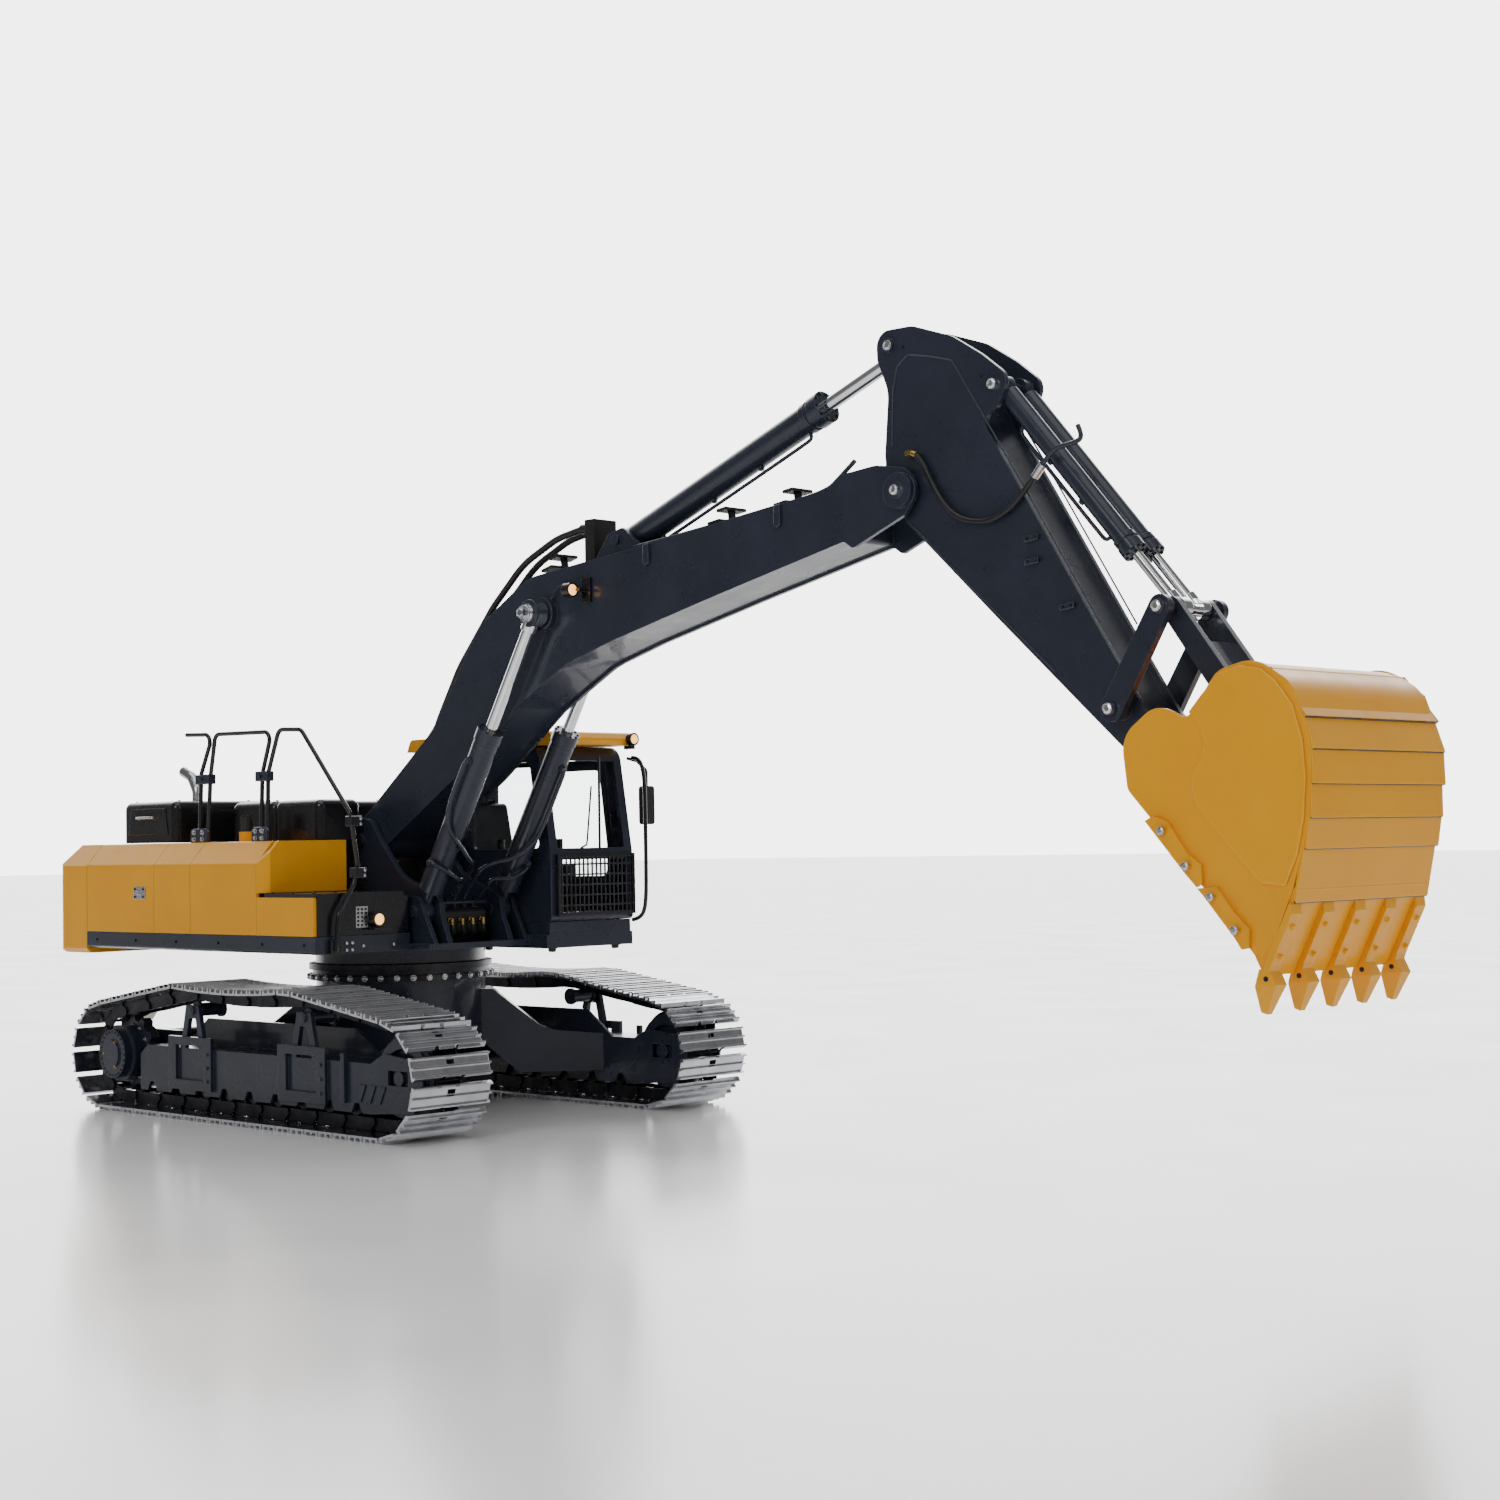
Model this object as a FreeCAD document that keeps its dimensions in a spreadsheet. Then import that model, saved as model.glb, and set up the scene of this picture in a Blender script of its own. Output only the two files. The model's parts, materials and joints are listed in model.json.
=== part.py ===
import FreeCAD, Part
import math
import os
import re

# Radio-controlled hydraulic excavator, taken as a model at one fourteenth of full size.
# Millimetres. +X points along the boom, +Y to the cab side, +Z up.
# The origin lies on the ground under the slewing axis.

Vector = FreeCAD.Vector

DIMENSIONS = [
    # tracks
    ("track_y", 99.8, "half of the track gauge"),
    ("shoe_width", 53.8, "width of one grouser shoe"),
    ("wheel_x", 142.5, "sprocket and idler centres from the slewing axis"),
    ("wheel_z", 34.0, "sprocket and idler centres above the ground"),
    ("chain_radius", 26.3, "pitch radius of the chain around its wheels"),
    ("link_pitch", 13.7, "nominal pin distance of the chain"),
    ("carrier_front_x", 55.0, "front carrier roller"),
    ("carrier_rear_x", -60.0, "rear carrier roller"),
    ("carrier_z", 64.0, "carrier roller centres"),
    ("carrier_radius", 6.0, "curve of the chain over a carrier roller"),
    ("carrier_tread", 5.1, "carrier roller tread, clear of the straight links"),
    ("chain_sag", 2.4, "sag of the chain between the carrier rollers"),
    ("link_inner", 3.2, "link height inside the pitch line"),
    ("link_outer", 4.3, "link height outside the pitch line"),
    ("shoe_plate", 1.3, "thickness of a shoe plate"),
    ("grouser_height", 1.9, "height of a grouser bar over its plate"),
    ("shoe_length", 13.0, "shoe plate along the chain"),
    ("frame_half", 12.5, "half width of a track frame"),
    ("frame_wall", 2.0, "wall of a track frame"),
    ("frame_top", 41.0, "top of a track frame"),
    ("frame_low", 13.0, "lower edge of a track frame"),
    ("frame_reach", 118.0, "half length of a track frame box"),
    ("roller_z", 16.9, "lower roller centres"),
    ("roller_radius", 5.9, "lower roller tread"),
    ("roller_step", 25.0, "spacing of the lower rollers"),
    ("leg_width", 34.0, "width of a leg of the X frame"),
    ("drum_radius", 52.0, "centre drum of the X frame"),
    # slewing ring
    ("ring_radius", 56.3, "outside of the fixed slewing ring"),
    ("ring_low", 80.0, "underside of the fixed slewing ring"),
    ("ring_high", 90.0, "top of the fixed slewing ring"),
    ("ring_gear_radius", 44.0, "pitch radius of the internal ring gear"),
    ("pinion_radius", 8.0, "pitch radius of the slewing pinion"),
    # upper structure
    ("deck_low", 99.5, "underside of the deck"),
    ("deck_high", 109.6, "top of the deck"),
    ("body_half", 108.0, "half width of the upper structure"),
    ("bevel_z", 152.0, "start of the bevel of the side panels"),
    ("hood_z", 165.5, "top of the side panels"),
    ("bevel_run", 12.0, "inset of the bevel"),
    ("panel_wall", 2.5, "wall of the side panels"),
    ("tail_radius", 246.0, "tail swing radius"),
    ("tail_front", -188.4, "front face of the counterweight"),
    ("door_front", -108.4, "seam in front of the side doors"),
    ("middle_seam", -67.9, "seam between the fixed side panels"),
    ("panel_front", 2.4, "front end of the right side panels"),
    ("corner_front", 8.0, "front face of the right corner panel"),
    ("platform_front", 61.0, "front end of the right platform"),
    ("box_top", 134.5, "top of the tool box"),
    # cab
    ("cab_front", 98.6, "front face of the cab"),
    ("cab_rear", -38.0, "rear face of the cab"),
    ("cab_right", 38.5, "boom side of the cab"),
    ("cab_left", 106.0, "outer side of the cab"),
    ("cab_floor", 113.4, "underside of the cab"),
    ("cab_roof", 221.0, "top of the cab posts"),
    ("cab_wall", 3.0, "thickness of the cab posts"),
    # front equipment
    ("boom_half", 20.5, "half width of the boom"),
    ("arm_half", 15.0, "half width of the arm"),
    ("plate_wall", 2.5, "side plates of boom and arm"),
    ("boom_foot_x", -6.0, "boom foot pin"),
    ("boom_foot_z", 165.0, "boom foot pin"),
    ("arm_pivot_x", 432.1, "pin at the boom nose"),
    ("arm_pivot_z", 331.9, "pin at the boom nose"),
    ("lift_foot_x", 60.0, "foot pin of the boom cylinders"),
    ("lift_foot_z", 122.0, "foot pin of the boom cylinders"),
    ("lift_eye_x", 165.6, "rod pin of the boom cylinders"),
    ("lift_eye_z", 291.7, "rod pin of the boom cylinders"),
    ("lift_y", 29.4, "half spacing of the boom cylinders"),
    ("stick_foot_x", 216.7, "foot pin of the arm cylinder"),
    ("stick_foot_z", 330.2, "foot pin of the arm cylinder"),
    ("stick_eye_x", 422.1, "rod pin of the arm cylinder"),
    ("stick_eye_z", 406.4, "rod pin of the arm cylinder"),
    ("curl_foot_x", 487.2, "foot pin of the bucket cylinders"),
    ("curl_foot_z", 377.6, "foot pin of the bucket cylinders"),
    ("curl_y", 7.4, "half spacing of the bucket cylinders"),
    ("lever_foot_x", 557.8, "pin of the bucket levers on the arm"),
    ("lever_foot_z", 217.5, "pin of the bucket levers on the arm"),
    ("lever_top_x", 585.0, "pin of the bucket levers at the cylinders"),
    ("lever_top_z", 262.1, "pin of the bucket levers at the cylinders"),
    ("bucket_pin_x", 586.0, "pin of the bucket on the arm"),
    ("bucket_pin_z", 190.0, "pin of the bucket on the arm"),
    ("link_pin_x", 616.0, "pin of the link on the bucket"),
    ("link_pin_z", 219.0, "pin of the link on the bucket"),
    ("lift_barrel", 7.4, "outside radius of the boom cylinders"),
    ("stick_barrel", 7.8, "outside radius of the arm cylinder"),
    ("curl_barrel", 5.0, "outside radius of the bucket cylinders"),
    ("pin_radius", 4.0, "main hinge pins"),
    ("pin_fit", 0.05, "running clearance on a pin"),
    ("side_gap", 0.5, "gap between faces that turn past each other"),
    ("bucket_half", 54.45, "half width of the bucket"),
    ("bucket_plate", 3.0, "side plates of the bucket"),
    ("tooth_pitch", 25.9, "spacing of the bucket teeth"),
]

os.makedirs("parts", exist_ok=True)
doc = FreeCAD.newDocument("rc_excavator")
sheet = doc.addObject("Spreadsheet::Sheet", "Dimensions")
for row, (alias, value, meaning) in enumerate(DIMENSIONS, start=1):
    sheet.set(f"A{row}", str(value))
    sheet.set(f"B{row}", meaning)
    sheet.setAlias(f"A{row}", alias)
doc.recompute()

nodes = {}


def dim(alias):
    """Value of one driving dimension, read from the sheet."""
    return float(sheet.get(alias))


def bind(obj, path, value):
    """Set a property to a number, or bind it to an expression in the sheet's aliases."""
    text = re.sub(r"\b[a-z]+_[a-z_]+\b", r"Dimensions.\g<0>", str(value))
    obj.setExpression(path, text)


def place(obj, x=0, y=0, z=0):
    for axis, value in zip("xyz", (x, y, z)):
        bind(obj, f"Placement.Base.{axis}", value)
    return obj


def turn(obj, axis, angle):
    obj.Placement.Rotation = FreeCAD.Rotation(Vector(*axis), angle)


def node(name, obj):
    """Register the object as the sub-part of that name."""
    obj.Label = name
    nodes[name] = obj
    return obj


def block(x0, x1, y0, y1, z0, z1):
    obj = doc.addObject("Part::Box", "Block")
    for path, low, high in (("Length", x0, x1), ("Width", y0, y1), ("Height", z0, z1)):
        bind(obj, path, f"({high}) - ({low})")
    return place(obj, x0, y0, z0)


def cylinder(axis, centre, radius, start, end):
    """Cylinder along X, Y or Z; centre holds the two other coordinates in X, Y, Z order."""
    obj = doc.addObject("Part::Cylinder", "Round")
    bind(obj, "Radius", radius)
    bind(obj, "Height", f"({end}) - ({start})")
    if axis == "x":
        turn(obj, (0, 1, 0), 90)
        return place(obj, start, centre[0], centre[1])
    if axis == "y":
        turn(obj, (1, 0, 0), -90)
        return place(obj, centre[0], start, centre[1])
    return place(obj, centre[0], centre[1], start)


def fuse(*shapes):
    obj = doc.addObject("Part::MultiFuse", "Union")
    obj.Shapes = list(shapes)
    obj.Refine = True
    return obj


def cut(base, *tools):
    obj = doc.addObject("Part::Cut", "Cut")
    obj.Base = base
    obj.Tool = tools[0] if len(tools) == 1 else group(*tools)
    return obj


def common(first, second):
    obj = doc.addObject("Part::MultiCommon", "Overlap")
    obj.Shapes = [first, second]
    return obj


def group(*shapes):
    """Several separate solids in one object."""
    obj = doc.addObject("Part::Compound", "Group")
    obj.Links = list(shapes)
    return obj


def mirror(obj):
    """Mirror image on the other side of the X-Z plane."""
    copy = doc.addObject("Part::Mirroring", "Mirror")
    copy.Source = obj
    copy.Normal = Vector(0, 1, 0)
    return copy


def both(obj):
    return group(obj, mirror(obj))


def feature(shape):
    obj = doc.addObject("Part::Feature", "Form")
    obj.Shape = shape
    return obj


def outline_edges(points):
    """Line and arc pieces of a closed outline; a point's third number rounds its corner."""
    pieces = []
    ends = []
    count = len(points)
    for i, point in enumerate(points):
        here = Vector(point[0], point[1], 0)
        radius = point[2] if len(point) > 2 else 0
        if not radius:
            ends.append((here, here))
            continue
        before = (Vector(*points[i - 1][:2], 0) - here).normalize()
        after = (Vector(*points[(i + 1) % count][:2], 0) - here).normalize()
        half = before.getAngle(after) / 2
        setback = radius / math.tan(half)
        start, end = here + before * setback, here + after * setback
        bisector = (before + after).normalize()
        middle = here + bisector * (radius / math.sin(half) - radius)
        pieces.append(Part.Arc(start, middle, end))
        ends.append((start, end))
    for i in range(count):
        start, end = ends[i][1], ends[(i + 1) % count][0]
        if start.distanceToPoint(end) > 1e-4:
            pieces.append(Part.LineSegment(start, end))
    return pieces


PLANES = {"x": "YZ_Plane", "y": "XZ_Plane", "z": "XY_Plane"}


def prism(axis, outline, low, high):
    """Body padded along an axis between two coordinates, from an outline across that axis."""
    body = doc.addObject("PartDesign::Body", "Body")
    sketch = body.newObject("Sketcher::SketchObject", "Outline")
    plane = [o for o in body.Origin.OriginFeatures if o.Role == PLANES[axis]][0]
    sketch.AttachmentSupport = [(plane, "")]
    sketch.MapMode = "FlatFace"
    for piece in outline_edges(outline):
        sketch.addGeometry(piece)
    pad = body.newObject("PartDesign::Pad", "Pad")
    pad.Profile = sketch
    pad.Midplane = True
    bind(pad, "Length", f"({high}) - ({low})")
    middle = f"(({low}) + ({high})) / 2"
    return place(body, **{axis: middle})


def wedge_ring(axis, centre, outer, inner, start, end):
    """Plain ring along an axis."""
    return cut(cylinder(axis, centre, outer, start, end), cylinder(axis, centre, inner, start, end))


def tube_path(points, bend):
    """Wire of straight runs joined by tangent arcs through the given corners."""
    corners = [Vector(*p) for p in points]
    edges = []
    last = corners[0]
    for i in range(1, len(corners) - 1):
        before = corners[i - 1] - corners[i]
        after = corners[i + 1] - corners[i]
        half = before.getAngle(after) / 2
        setback = min(bend / math.tan(half), 0.45 * min(before.Length, after.Length))
        radius = setback * math.tan(half)
        before.normalize()
        after.normalize()
        start, end = corners[i] + before * setback, corners[i] + after * setback
        middle = corners[i] + (before + after).normalize() * (radius / math.sin(half) - radius)
        edges.append(Part.LineSegment(last, start).toShape())
        edges.append(Part.Arc(start, middle, end).toShape())
        last = end
    edges.append(Part.LineSegment(last, corners[-1]).toShape())
    return Part.Wire(edges)


def tube(points, radius, bend):
    """Round bar bent along its corners."""
    path = tube_path(points, bend)
    direction = Vector(*points[1]) - Vector(*points[0])
    section = Part.Wire(Part.makeCircle(radius, Vector(*points[0]), direction))
    pipe = path.makePipeShell([section], True, False)
    return feature(pipe)


def exact_round(start, end, radius):
    """Cylinder between two points in space."""
    start, end = Vector(*start), Vector(*end)
    return Part.makeCylinder(radius, start.distanceToPoint(end), start, end - start)


def slab(outline, inset, y0, y1):
    """Plate across the machine: an outline in the X-Z plane, drawn in by a distance."""
    wire = Part.Wire(Part.__sortEdges__([p.toShape() for p in outline_edges(outline)]))
    if inset:
        wire = wire.makeOffset2D(-inset)
    solid = Part.Face(wire).extrude(Vector(0, 0, y1 - y0))
    solid.Placement = FreeCAD.Placement(Vector(0, y1, 0), FreeCAD.Rotation(Vector(1, 0, 0), 90))
    return solid


def across(side, near, far):
    """Rising Y interval on one side of the machine, from its middle outwards."""
    return sorted((side * near, side * far))


# ---------------------------------------------------------------- tracks

def tangent_angle(wheel, carrier, wheel_radius, carrier_radius, side):
    """Direction of the outward normal where the chain leaves a wheel for a carrier roller."""
    dx, dz = wheel[0] - carrier[0], wheel[1] - carrier[1]
    spread = math.acos((carrier_radius - wheel_radius) / math.hypot(dx, dz))
    return math.atan2(dz, dx) + side * spread


def arc_points(centre, radius, start, end, steps):
    angles = [start + (end - start) * i / steps for i in range(steps + 1)]
    return [(centre[0] + radius * math.cos(a), centre[1] + radius * math.sin(a)) for a in angles]


def chain_line():
    """Pitch line of the chain as a closed chain of close points, forward along the ground."""
    reach, height = dim("wheel_x"), dim("wheel_z")
    wheel_radius = dim("chain_radius")
    over_roller = dim("carrier_radius") + dim("link_inner") + 0.3
    front, rear = (reach, height), (-reach, height)
    carrier_front = (dim("carrier_front_x"), dim("carrier_z"))
    carrier_rear = (dim("carrier_rear_x"), dim("carrier_z"))
    down = -math.pi / 2
    up = math.pi / 2
    front_angle = tangent_angle(front, carrier_front, wheel_radius, over_roller, 1)
    rear_angle = tangent_angle(rear, carrier_rear, wheel_radius, over_roller, -1) + 2 * math.pi
    points = arc_points(front, wheel_radius, down, front_angle, 90)
    points += arc_points(carrier_front, over_roller, front_angle, up, 6)
    span = carrier_front[0] - carrier_rear[0]
    crest = dim("carrier_z") + over_roller
    for i in range(1, 60):
        share = i / 60
        sag = dim("chain_sag") * 4 * share * (1 - share)
        points.append((carrier_front[0] - span * share, crest - sag))
    points += arc_points(carrier_rear, over_roller, up, rear_angle, 6)
    points += arc_points(rear, wheel_radius, rear_angle, math.pi * 1.5, 90)
    return points


def chain_pins():
    """Pin places, evenly spaced along the pitch line; the count is even."""
    line = chain_line()
    lengths = [math.dist(line[i], line[(i + 1) % len(line)]) for i in range(len(line))]
    total = sum(lengths)
    count = 2 * round(total / dim("link_pitch") / 2)
    pins = []
    for k in range(count):
        left = total * k / count
        i = 0
        while left > lengths[i]:
            left -= lengths[i]
            i += 1
        a, b = line[i], line[(i + 1) % len(line)]
        share = left / lengths[i]
        pins.append(Vector(a[0] + (b[0] - a[0]) * share, 0, a[1] + (b[1] - a[1]) * share))
    return pins


def link_frames(pins, side):
    """Placement of each link: local X along the chain, local Z out of the loop."""
    frames = []
    for i, pin in enumerate(pins):
        ahead = (pins[(i + 1) % len(pins)] - pin)
        middle = pin + ahead * 0.5 + Vector(0, side, 0)
        along = ahead.normalize()
        out = Vector(along.z, 0, -along.x)
        across = out.cross(along)
        matrix = FreeCAD.Matrix(
            along.x, across.x, out.x, middle.x,
            along.y, across.y, out.y, middle.y,
            along.z, across.z, out.z, middle.z,
            0, 0, 0, 1)
        frames.append(FreeCAD.Placement(matrix))
    return frames


def local_prism(outline, half_width, shift=0):
    """Solid from an outline in local X and Z, spread across local Y."""
    wire = Part.makePolygon([Vector(a, shift - half_width, b) for a, b in outline + outline[:1]])
    return Part.Face(wire).extrude(Vector(0, 2 * half_width, 0))


def shoe_solid():
    """Triple grouser shoe with its mud hole."""
    half = dim("shoe_length") / 2
    seat = dim("link_outer") + 0.2
    face = seat + dim("shoe_plate")
    tip = face + dim("grouser_height")
    lip = seat + 0.8
    bar, foot = 0.42, 0.85
    outline = [(-half, seat), (half, seat), (half, lip), (half - 0.75, tip), (half - 1.6, tip),
               (half - 2.1, face), (foot, face), (bar, tip), (-bar, tip), (-foot, face),
               (2.1 - half, face), (1.6 - half, tip), (0.75 - half, tip), (-half, lip)]
    shoe = local_prism(outline, dim("shoe_width") / 2)
    hole = Part.makeBox(2.6, 5.4, 4, Vector(1.15, -2.7, seat - 1))
    ends = [Part.makeBox(1.6, 3.0, 6, Vector(-half - 0.6, y - 1.5, seat - 1)) for y in (-6.5, 6.5)]
    return shoe.cut(Part.makeCompound([hole] + ends))


def link_solids(outer):
    """Pair of link plates; the plates of neighbouring links lie side by side at the pins."""
    half = dim("link_pitch") / 2
    low, high = -dim("link_inner"), dim("link_outer")
    outline = [(-half - 1.2, low), (half + 1.2, low), (half + 2.4, 0), (half - 0.3, 2.4),
               (half - 1.6, high), (1.6 - half, high), (0.3 - half, 2.4), (-half - 2.4, 0)]
    centre = 9.3 if outer else 8.2
    return [local_prism(outline, 0.5, side * centre) for side in (-1, 1)]


def track(side_name, side):
    pins = chain_pins()
    frames = link_frames(pins, side)
    shoe = shoe_solid()
    shoes = []
    links = []
    plates = [link_solids(False), link_solids(True)]
    for i, frame in enumerate(frames):
        moved = shoe.copy()
        moved.Placement = frame
        shoes.append(moved)
        for plate in plates[i % 2]:
            moved = plate.copy()
            moved.Placement = frame
            links.append(moved)
    for pin in pins:
        foot = pin + Vector(0, side - 7.6, 0)
        links.append(Part.makeCylinder(1.4, 15.2, foot, Vector(0, 1, 0)))
    node("track_shoes_" + side_name, feature(Part.makeCompound(shoes)))
    node("track_chain_" + side_name, feature(Part.makeCompound(links)))


def gear_outline(teeth, root, tip):
    """Straight-sided teeth on a circle; the shares are half widths of a tooth, in pitches."""
    root_share, tip_share = 0.30, 0.16
    points = []
    for i in range(teeth):
        for share, radius in ((-root_share, root), (-tip_share, tip), (tip_share, tip), (root_share, root)):
            angle = 2 * math.pi * (i + share) / teeth
            points.append((radius * math.cos(angle), radius * math.sin(angle)))
    return points


def wheel_prism(outline, x, z, y0, y1):
    """Toothed disc on an axle along Y."""
    wire = Part.makePolygon([Vector(x + a, y0, z + b) for a, b in outline + outline[:1]])
    return Part.Face(wire).extrude(Vector(0, y1 - y0, 0))


def y_disc(x, z, radius, y0, y1):
    return Part.makeCylinder(radius, y1 - y0, Vector(x, y0, z), Vector(0, 1, 0))


def span(side, near, far):
    """Y interval at distances from the track's middle, growing outwards from the machine."""
    sign = 1 if side > 0 else -1
    ends = sorted((side + sign * near, side + sign * far))
    return ends[0], ends[1]


def sprocket(side):
    """Toothed rim on the turning hub of the final drive, with its bolted cover."""
    x, z = -dim("wheel_x"), dim("wheel_z")
    rim = wheel_prism(gear_outline(12, 20.4, 23.9), x, z, side - 3.2, side + 3.2)
    hub = y_disc(x, z, 17.5, *span(side, -7.5, 12.2))
    cover = y_disc(x, z, 15.2, *span(side, 12.2, 18.0))
    dome = y_disc(x, z, 9.0, *span(side, 18.0, 19.2))
    body = rim.fuse([hub, cover, dome])
    for i in range(24):
        angle = 2 * math.pi * i / 24
        bolt = y_disc(x + 13.6 * math.cos(angle), z + 13.6 * math.sin(angle), 0.75, *span(side, 17.5, 18.7))
        body = body.fuse(bolt)
    return body.cut(y_disc(x, z, 5.05, *span(side, -8, 6)))


def idler(side):
    x, z = dim("wheel_x"), dim("wheel_z")
    tread = y_disc(x, z, 21.7, side - 9.4, side + 9.4)
    flange = y_disc(x, z, 24.3, side - 5.0, side + 5.0)
    dish = [y_disc(x, z, 16.0, *span(side, 6.5, 9.6)), y_disc(x, z, 16.0, *span(side, -9.6, -6.5))]
    hub = y_disc(x, z, 8.0, side - 9.8, side + 9.8)
    bore = y_disc(x, z, dim("pin_radius") + dim("pin_fit"), side - 11, side + 11)
    return tread.fuse(flange).cut(Part.makeCompound(dish)).fuse(hub).cut(bore)


def carrier_roller(x, side):
    z = dim("carrier_z")
    tread = y_disc(x, z, dim("carrier_tread"), side - 9.2, side + 9.2)
    groove = y_disc(x, z, 4.0, side - 7.0, side + 7.0)
    waist = y_disc(x, z, dim("carrier_radius") + 1, side - 7.0, side + 7.0)
    return tread.cut(waist).fuse(groove).cut(y_disc(x, z, 2.05, side - 10, side + 10))


def lower_rollers(side):
    solids = []
    z = dim("roller_z")
    for i in range(9):
        x = (i - 4) * dim("roller_step")
        roller = y_disc(x, z, dim("roller_radius"), side - 9.4, side + 9.4)
        flange = y_disc(x, z, 7.3, side - 6.4, side + 6.4)
        solids.append(roller.fuse(flange))
    return solids


def scallops(step, low, deep, reach):
    """Lower edge of a frame plate, cut out between the lower rollers."""
    points = []
    x = -reach
    count = int(2 * reach / step)
    step = 2 * reach / count
    for i in range(count):
        start = x + i * step
        points += [(start, low), (start + 0.30 * step, low), (start + 0.42 * step, deep),
                   (start + 0.58 * step, deep), (start + 0.70 * step, low)]
    points.append((reach, low))
    return points


def track_frame(side):
    """Hollow frame box open at the bottom, with idler cheeks, drive plate, stands and guards."""
    sign = 1 if side > 0 else -1
    half, wall = dim("frame_half"), dim("frame_wall")
    reach, top, low = dim("frame_reach"), dim("frame_top"), dim("frame_low")
    teeth = scallops(dim("roller_step"), low, low + 5.5, reach)
    plate_outline = teeth + [(reach + 38, low + 3), (reach + 47, 27), (reach + 44, 44), (reach + 12, 47),
                             (reach, top), (-reach + 8, top), (-reach, top - 6)]
    parts = []
    for near, far in ((half - wall, half), (-half, wall - half)):
        y0, y1 = span(side, near, far)
        wire = Part.makePolygon([Vector(a, y0, b) for a, b in plate_outline + plate_outline[:1]])
        parts.append(Part.Face(wire).extrude(Vector(0, y1 - y0, 0)))
    parts.append(Part.makeBox(2 * reach - 8, 2 * half, 2.5, Vector(8 - reach, side - half, top - 2.5)))
    parts.append(Part.makeBox(3, 2 * half, top - 28, Vector(reach - 12, side - half, 28)))
    # plate that carries the travel motor, inside of the sprocket
    y0, y1 = span(side, -half - 2.0, wall - half)
    parts.append(Part.makeBox(34, y1 - y0, 28, Vector(-reach - 26, y0, 20)))
    frame = parts[0].fuse(parts[1:])
    # idler slots in both cheeks
    slot = Part.makeBox(18, 2 * half + 2, 2 * dim("pin_radius") + 0.2,
                        Vector(dim("wheel_x") - 9, side - half - 1, dim("wheel_z") - dim("pin_radius") - 0.1))
    hole = y_disc(-dim("wheel_x"), dim("wheel_z"), 9.0, *span(side, -half - 3, half + 1))
    frame = frame.cut(Part.makeCompound([slot, hole]))
    # stands of the carrier rollers
    for x in (dim("carrier_front_x"), dim("carrier_rear_x")):
        y0, y1 = span(side, 9.7, half)
        z = dim("carrier_z")
        legs = [(x - 13, top - 1), (x - 8, top - 1), (x - 3.6, z - 5), (x + 3.6, z - 5), (x + 8, top - 1),
                (x + 13, top - 1), (x + 6.5, z + 3), (x - 6.5, z + 3)]
        wire = Part.makePolygon([Vector(a, y0, b) for a, b in legs + legs[:1]])
        stand = Part.Face(wire).extrude(Vector(0, y1 - y0, 0))
        shaft = y_disc(x, z, 2.0, *span(side, -9.3, half + 1.5))
        cap = y_disc(x, z, 3.2, *span(side, half, half + 1.2))
        frame = frame.fuse([stand, shaft, cap])
    # bracket guards on the outer plate
    for x in (dim("carrier_front_x"), dim("carrier_rear_x")):
        y0, y1 = span(side, half - 0.2, half + 2.2)
        outer = Part.makeBox(46, y1 - y0, 32, Vector(x - 23, y0, 16))
        inner = Part.makeBox(30, y1 - y0 + 2, 21, Vector(x - 15, y0 - 1, 22))
        frame = frame.fuse(outer.cut(inner))
        for z in (22, 30, 38):
            frame = frame.fuse(y_disc(x + 19, z, 1.1, *span(side, half + 2.0, half + 3.0)))
    return frame.removeSplitter()


def inner_web(side):
    """Web standing on the inner edge of a track frame, under the upper run of its chain."""
    half, top = dim("frame_half"), dim("frame_top")
    outline = [(-100, top), (-78, 57), (74, 57), (98, top)]
    return slab(outline, 0, *span(side, -half, dim("frame_wall") - half))


def tensioner(side):
    """Idler yoke with its axle, push rod and spring inside the frame."""
    x, z = dim("wheel_x"), dim("wheel_z")
    front = dim("frame_reach") - 2
    axle = y_disc(x, z, dim("pin_radius"), side - dim("frame_half") + 0.4, side + dim("frame_half") - 0.4)
    rod = Part.makeCylinder(2.0, 60, Vector(front - 74, side, z), Vector(1, 0, 0))
    block_x = front - 76
    stop = Part.makeBox(4, 16, 10, Vector(block_x - 1, side - 8, z - 6))
    helix = Part.makeHelix(6.0, 48, 3.4)
    helix.Placement = FreeCAD.Placement(Vector(block_x + 6, side, z), FreeCAD.Rotation(Vector(0, 1, 0), 90))
    start = helix.Edges[0].Vertexes[0].Point
    direction = helix.Edges[0].tangentAt(helix.Edges[0].FirstParameter)
    section = Part.Wire(Part.makeCircle(0.8, start, direction))
    spring = Part.Wire(helix.Edges).makePipeShell([section], True, True)
    return [axle, rod.fuse(stop), spring]


for side_name, sign in (("right", -1), ("left", 1)):
    side = sign * dim("track_y")
    track(side_name, side)
    node("track_frame_" + side_name, feature(Part.makeCompound([track_frame(side), inner_web(side)])))
    node("sprocket_" + side_name, feature(sprocket(side)))
    node("idler_" + side_name, feature(idler(side)))
    node(f"carrier_roller_{side_name}_front", feature(carrier_roller(dim("carrier_front_x"), side)))
    node(f"carrier_roller_{side_name}_rear", feature(carrier_roller(dim("carrier_rear_x"), side)))

rollers = lower_rollers(-dim("track_y")) + lower_rollers(dim("track_y"))
node("lower_rollers", feature(Part.makeCompound(rollers)))
tensioners = tensioner(-dim("track_y")) + tensioner(dim("track_y"))
node("track_tensioners", feature(Part.makeCompound(tensioners)))

inner_plane = "track_y - frame_half"
motor_start = f"{inner_plane} - 30"
motor = fuse(cylinder("y", ("-wheel_x", "wheel_z"), 13, motor_start, f"{inner_plane} - 2.3"),
             cylinder("y", ("-wheel_x", "wheel_z"), 5.0, f"{inner_plane} - 3", "track_y + 5.5"))
node("travel_motors", both(motor))


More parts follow.
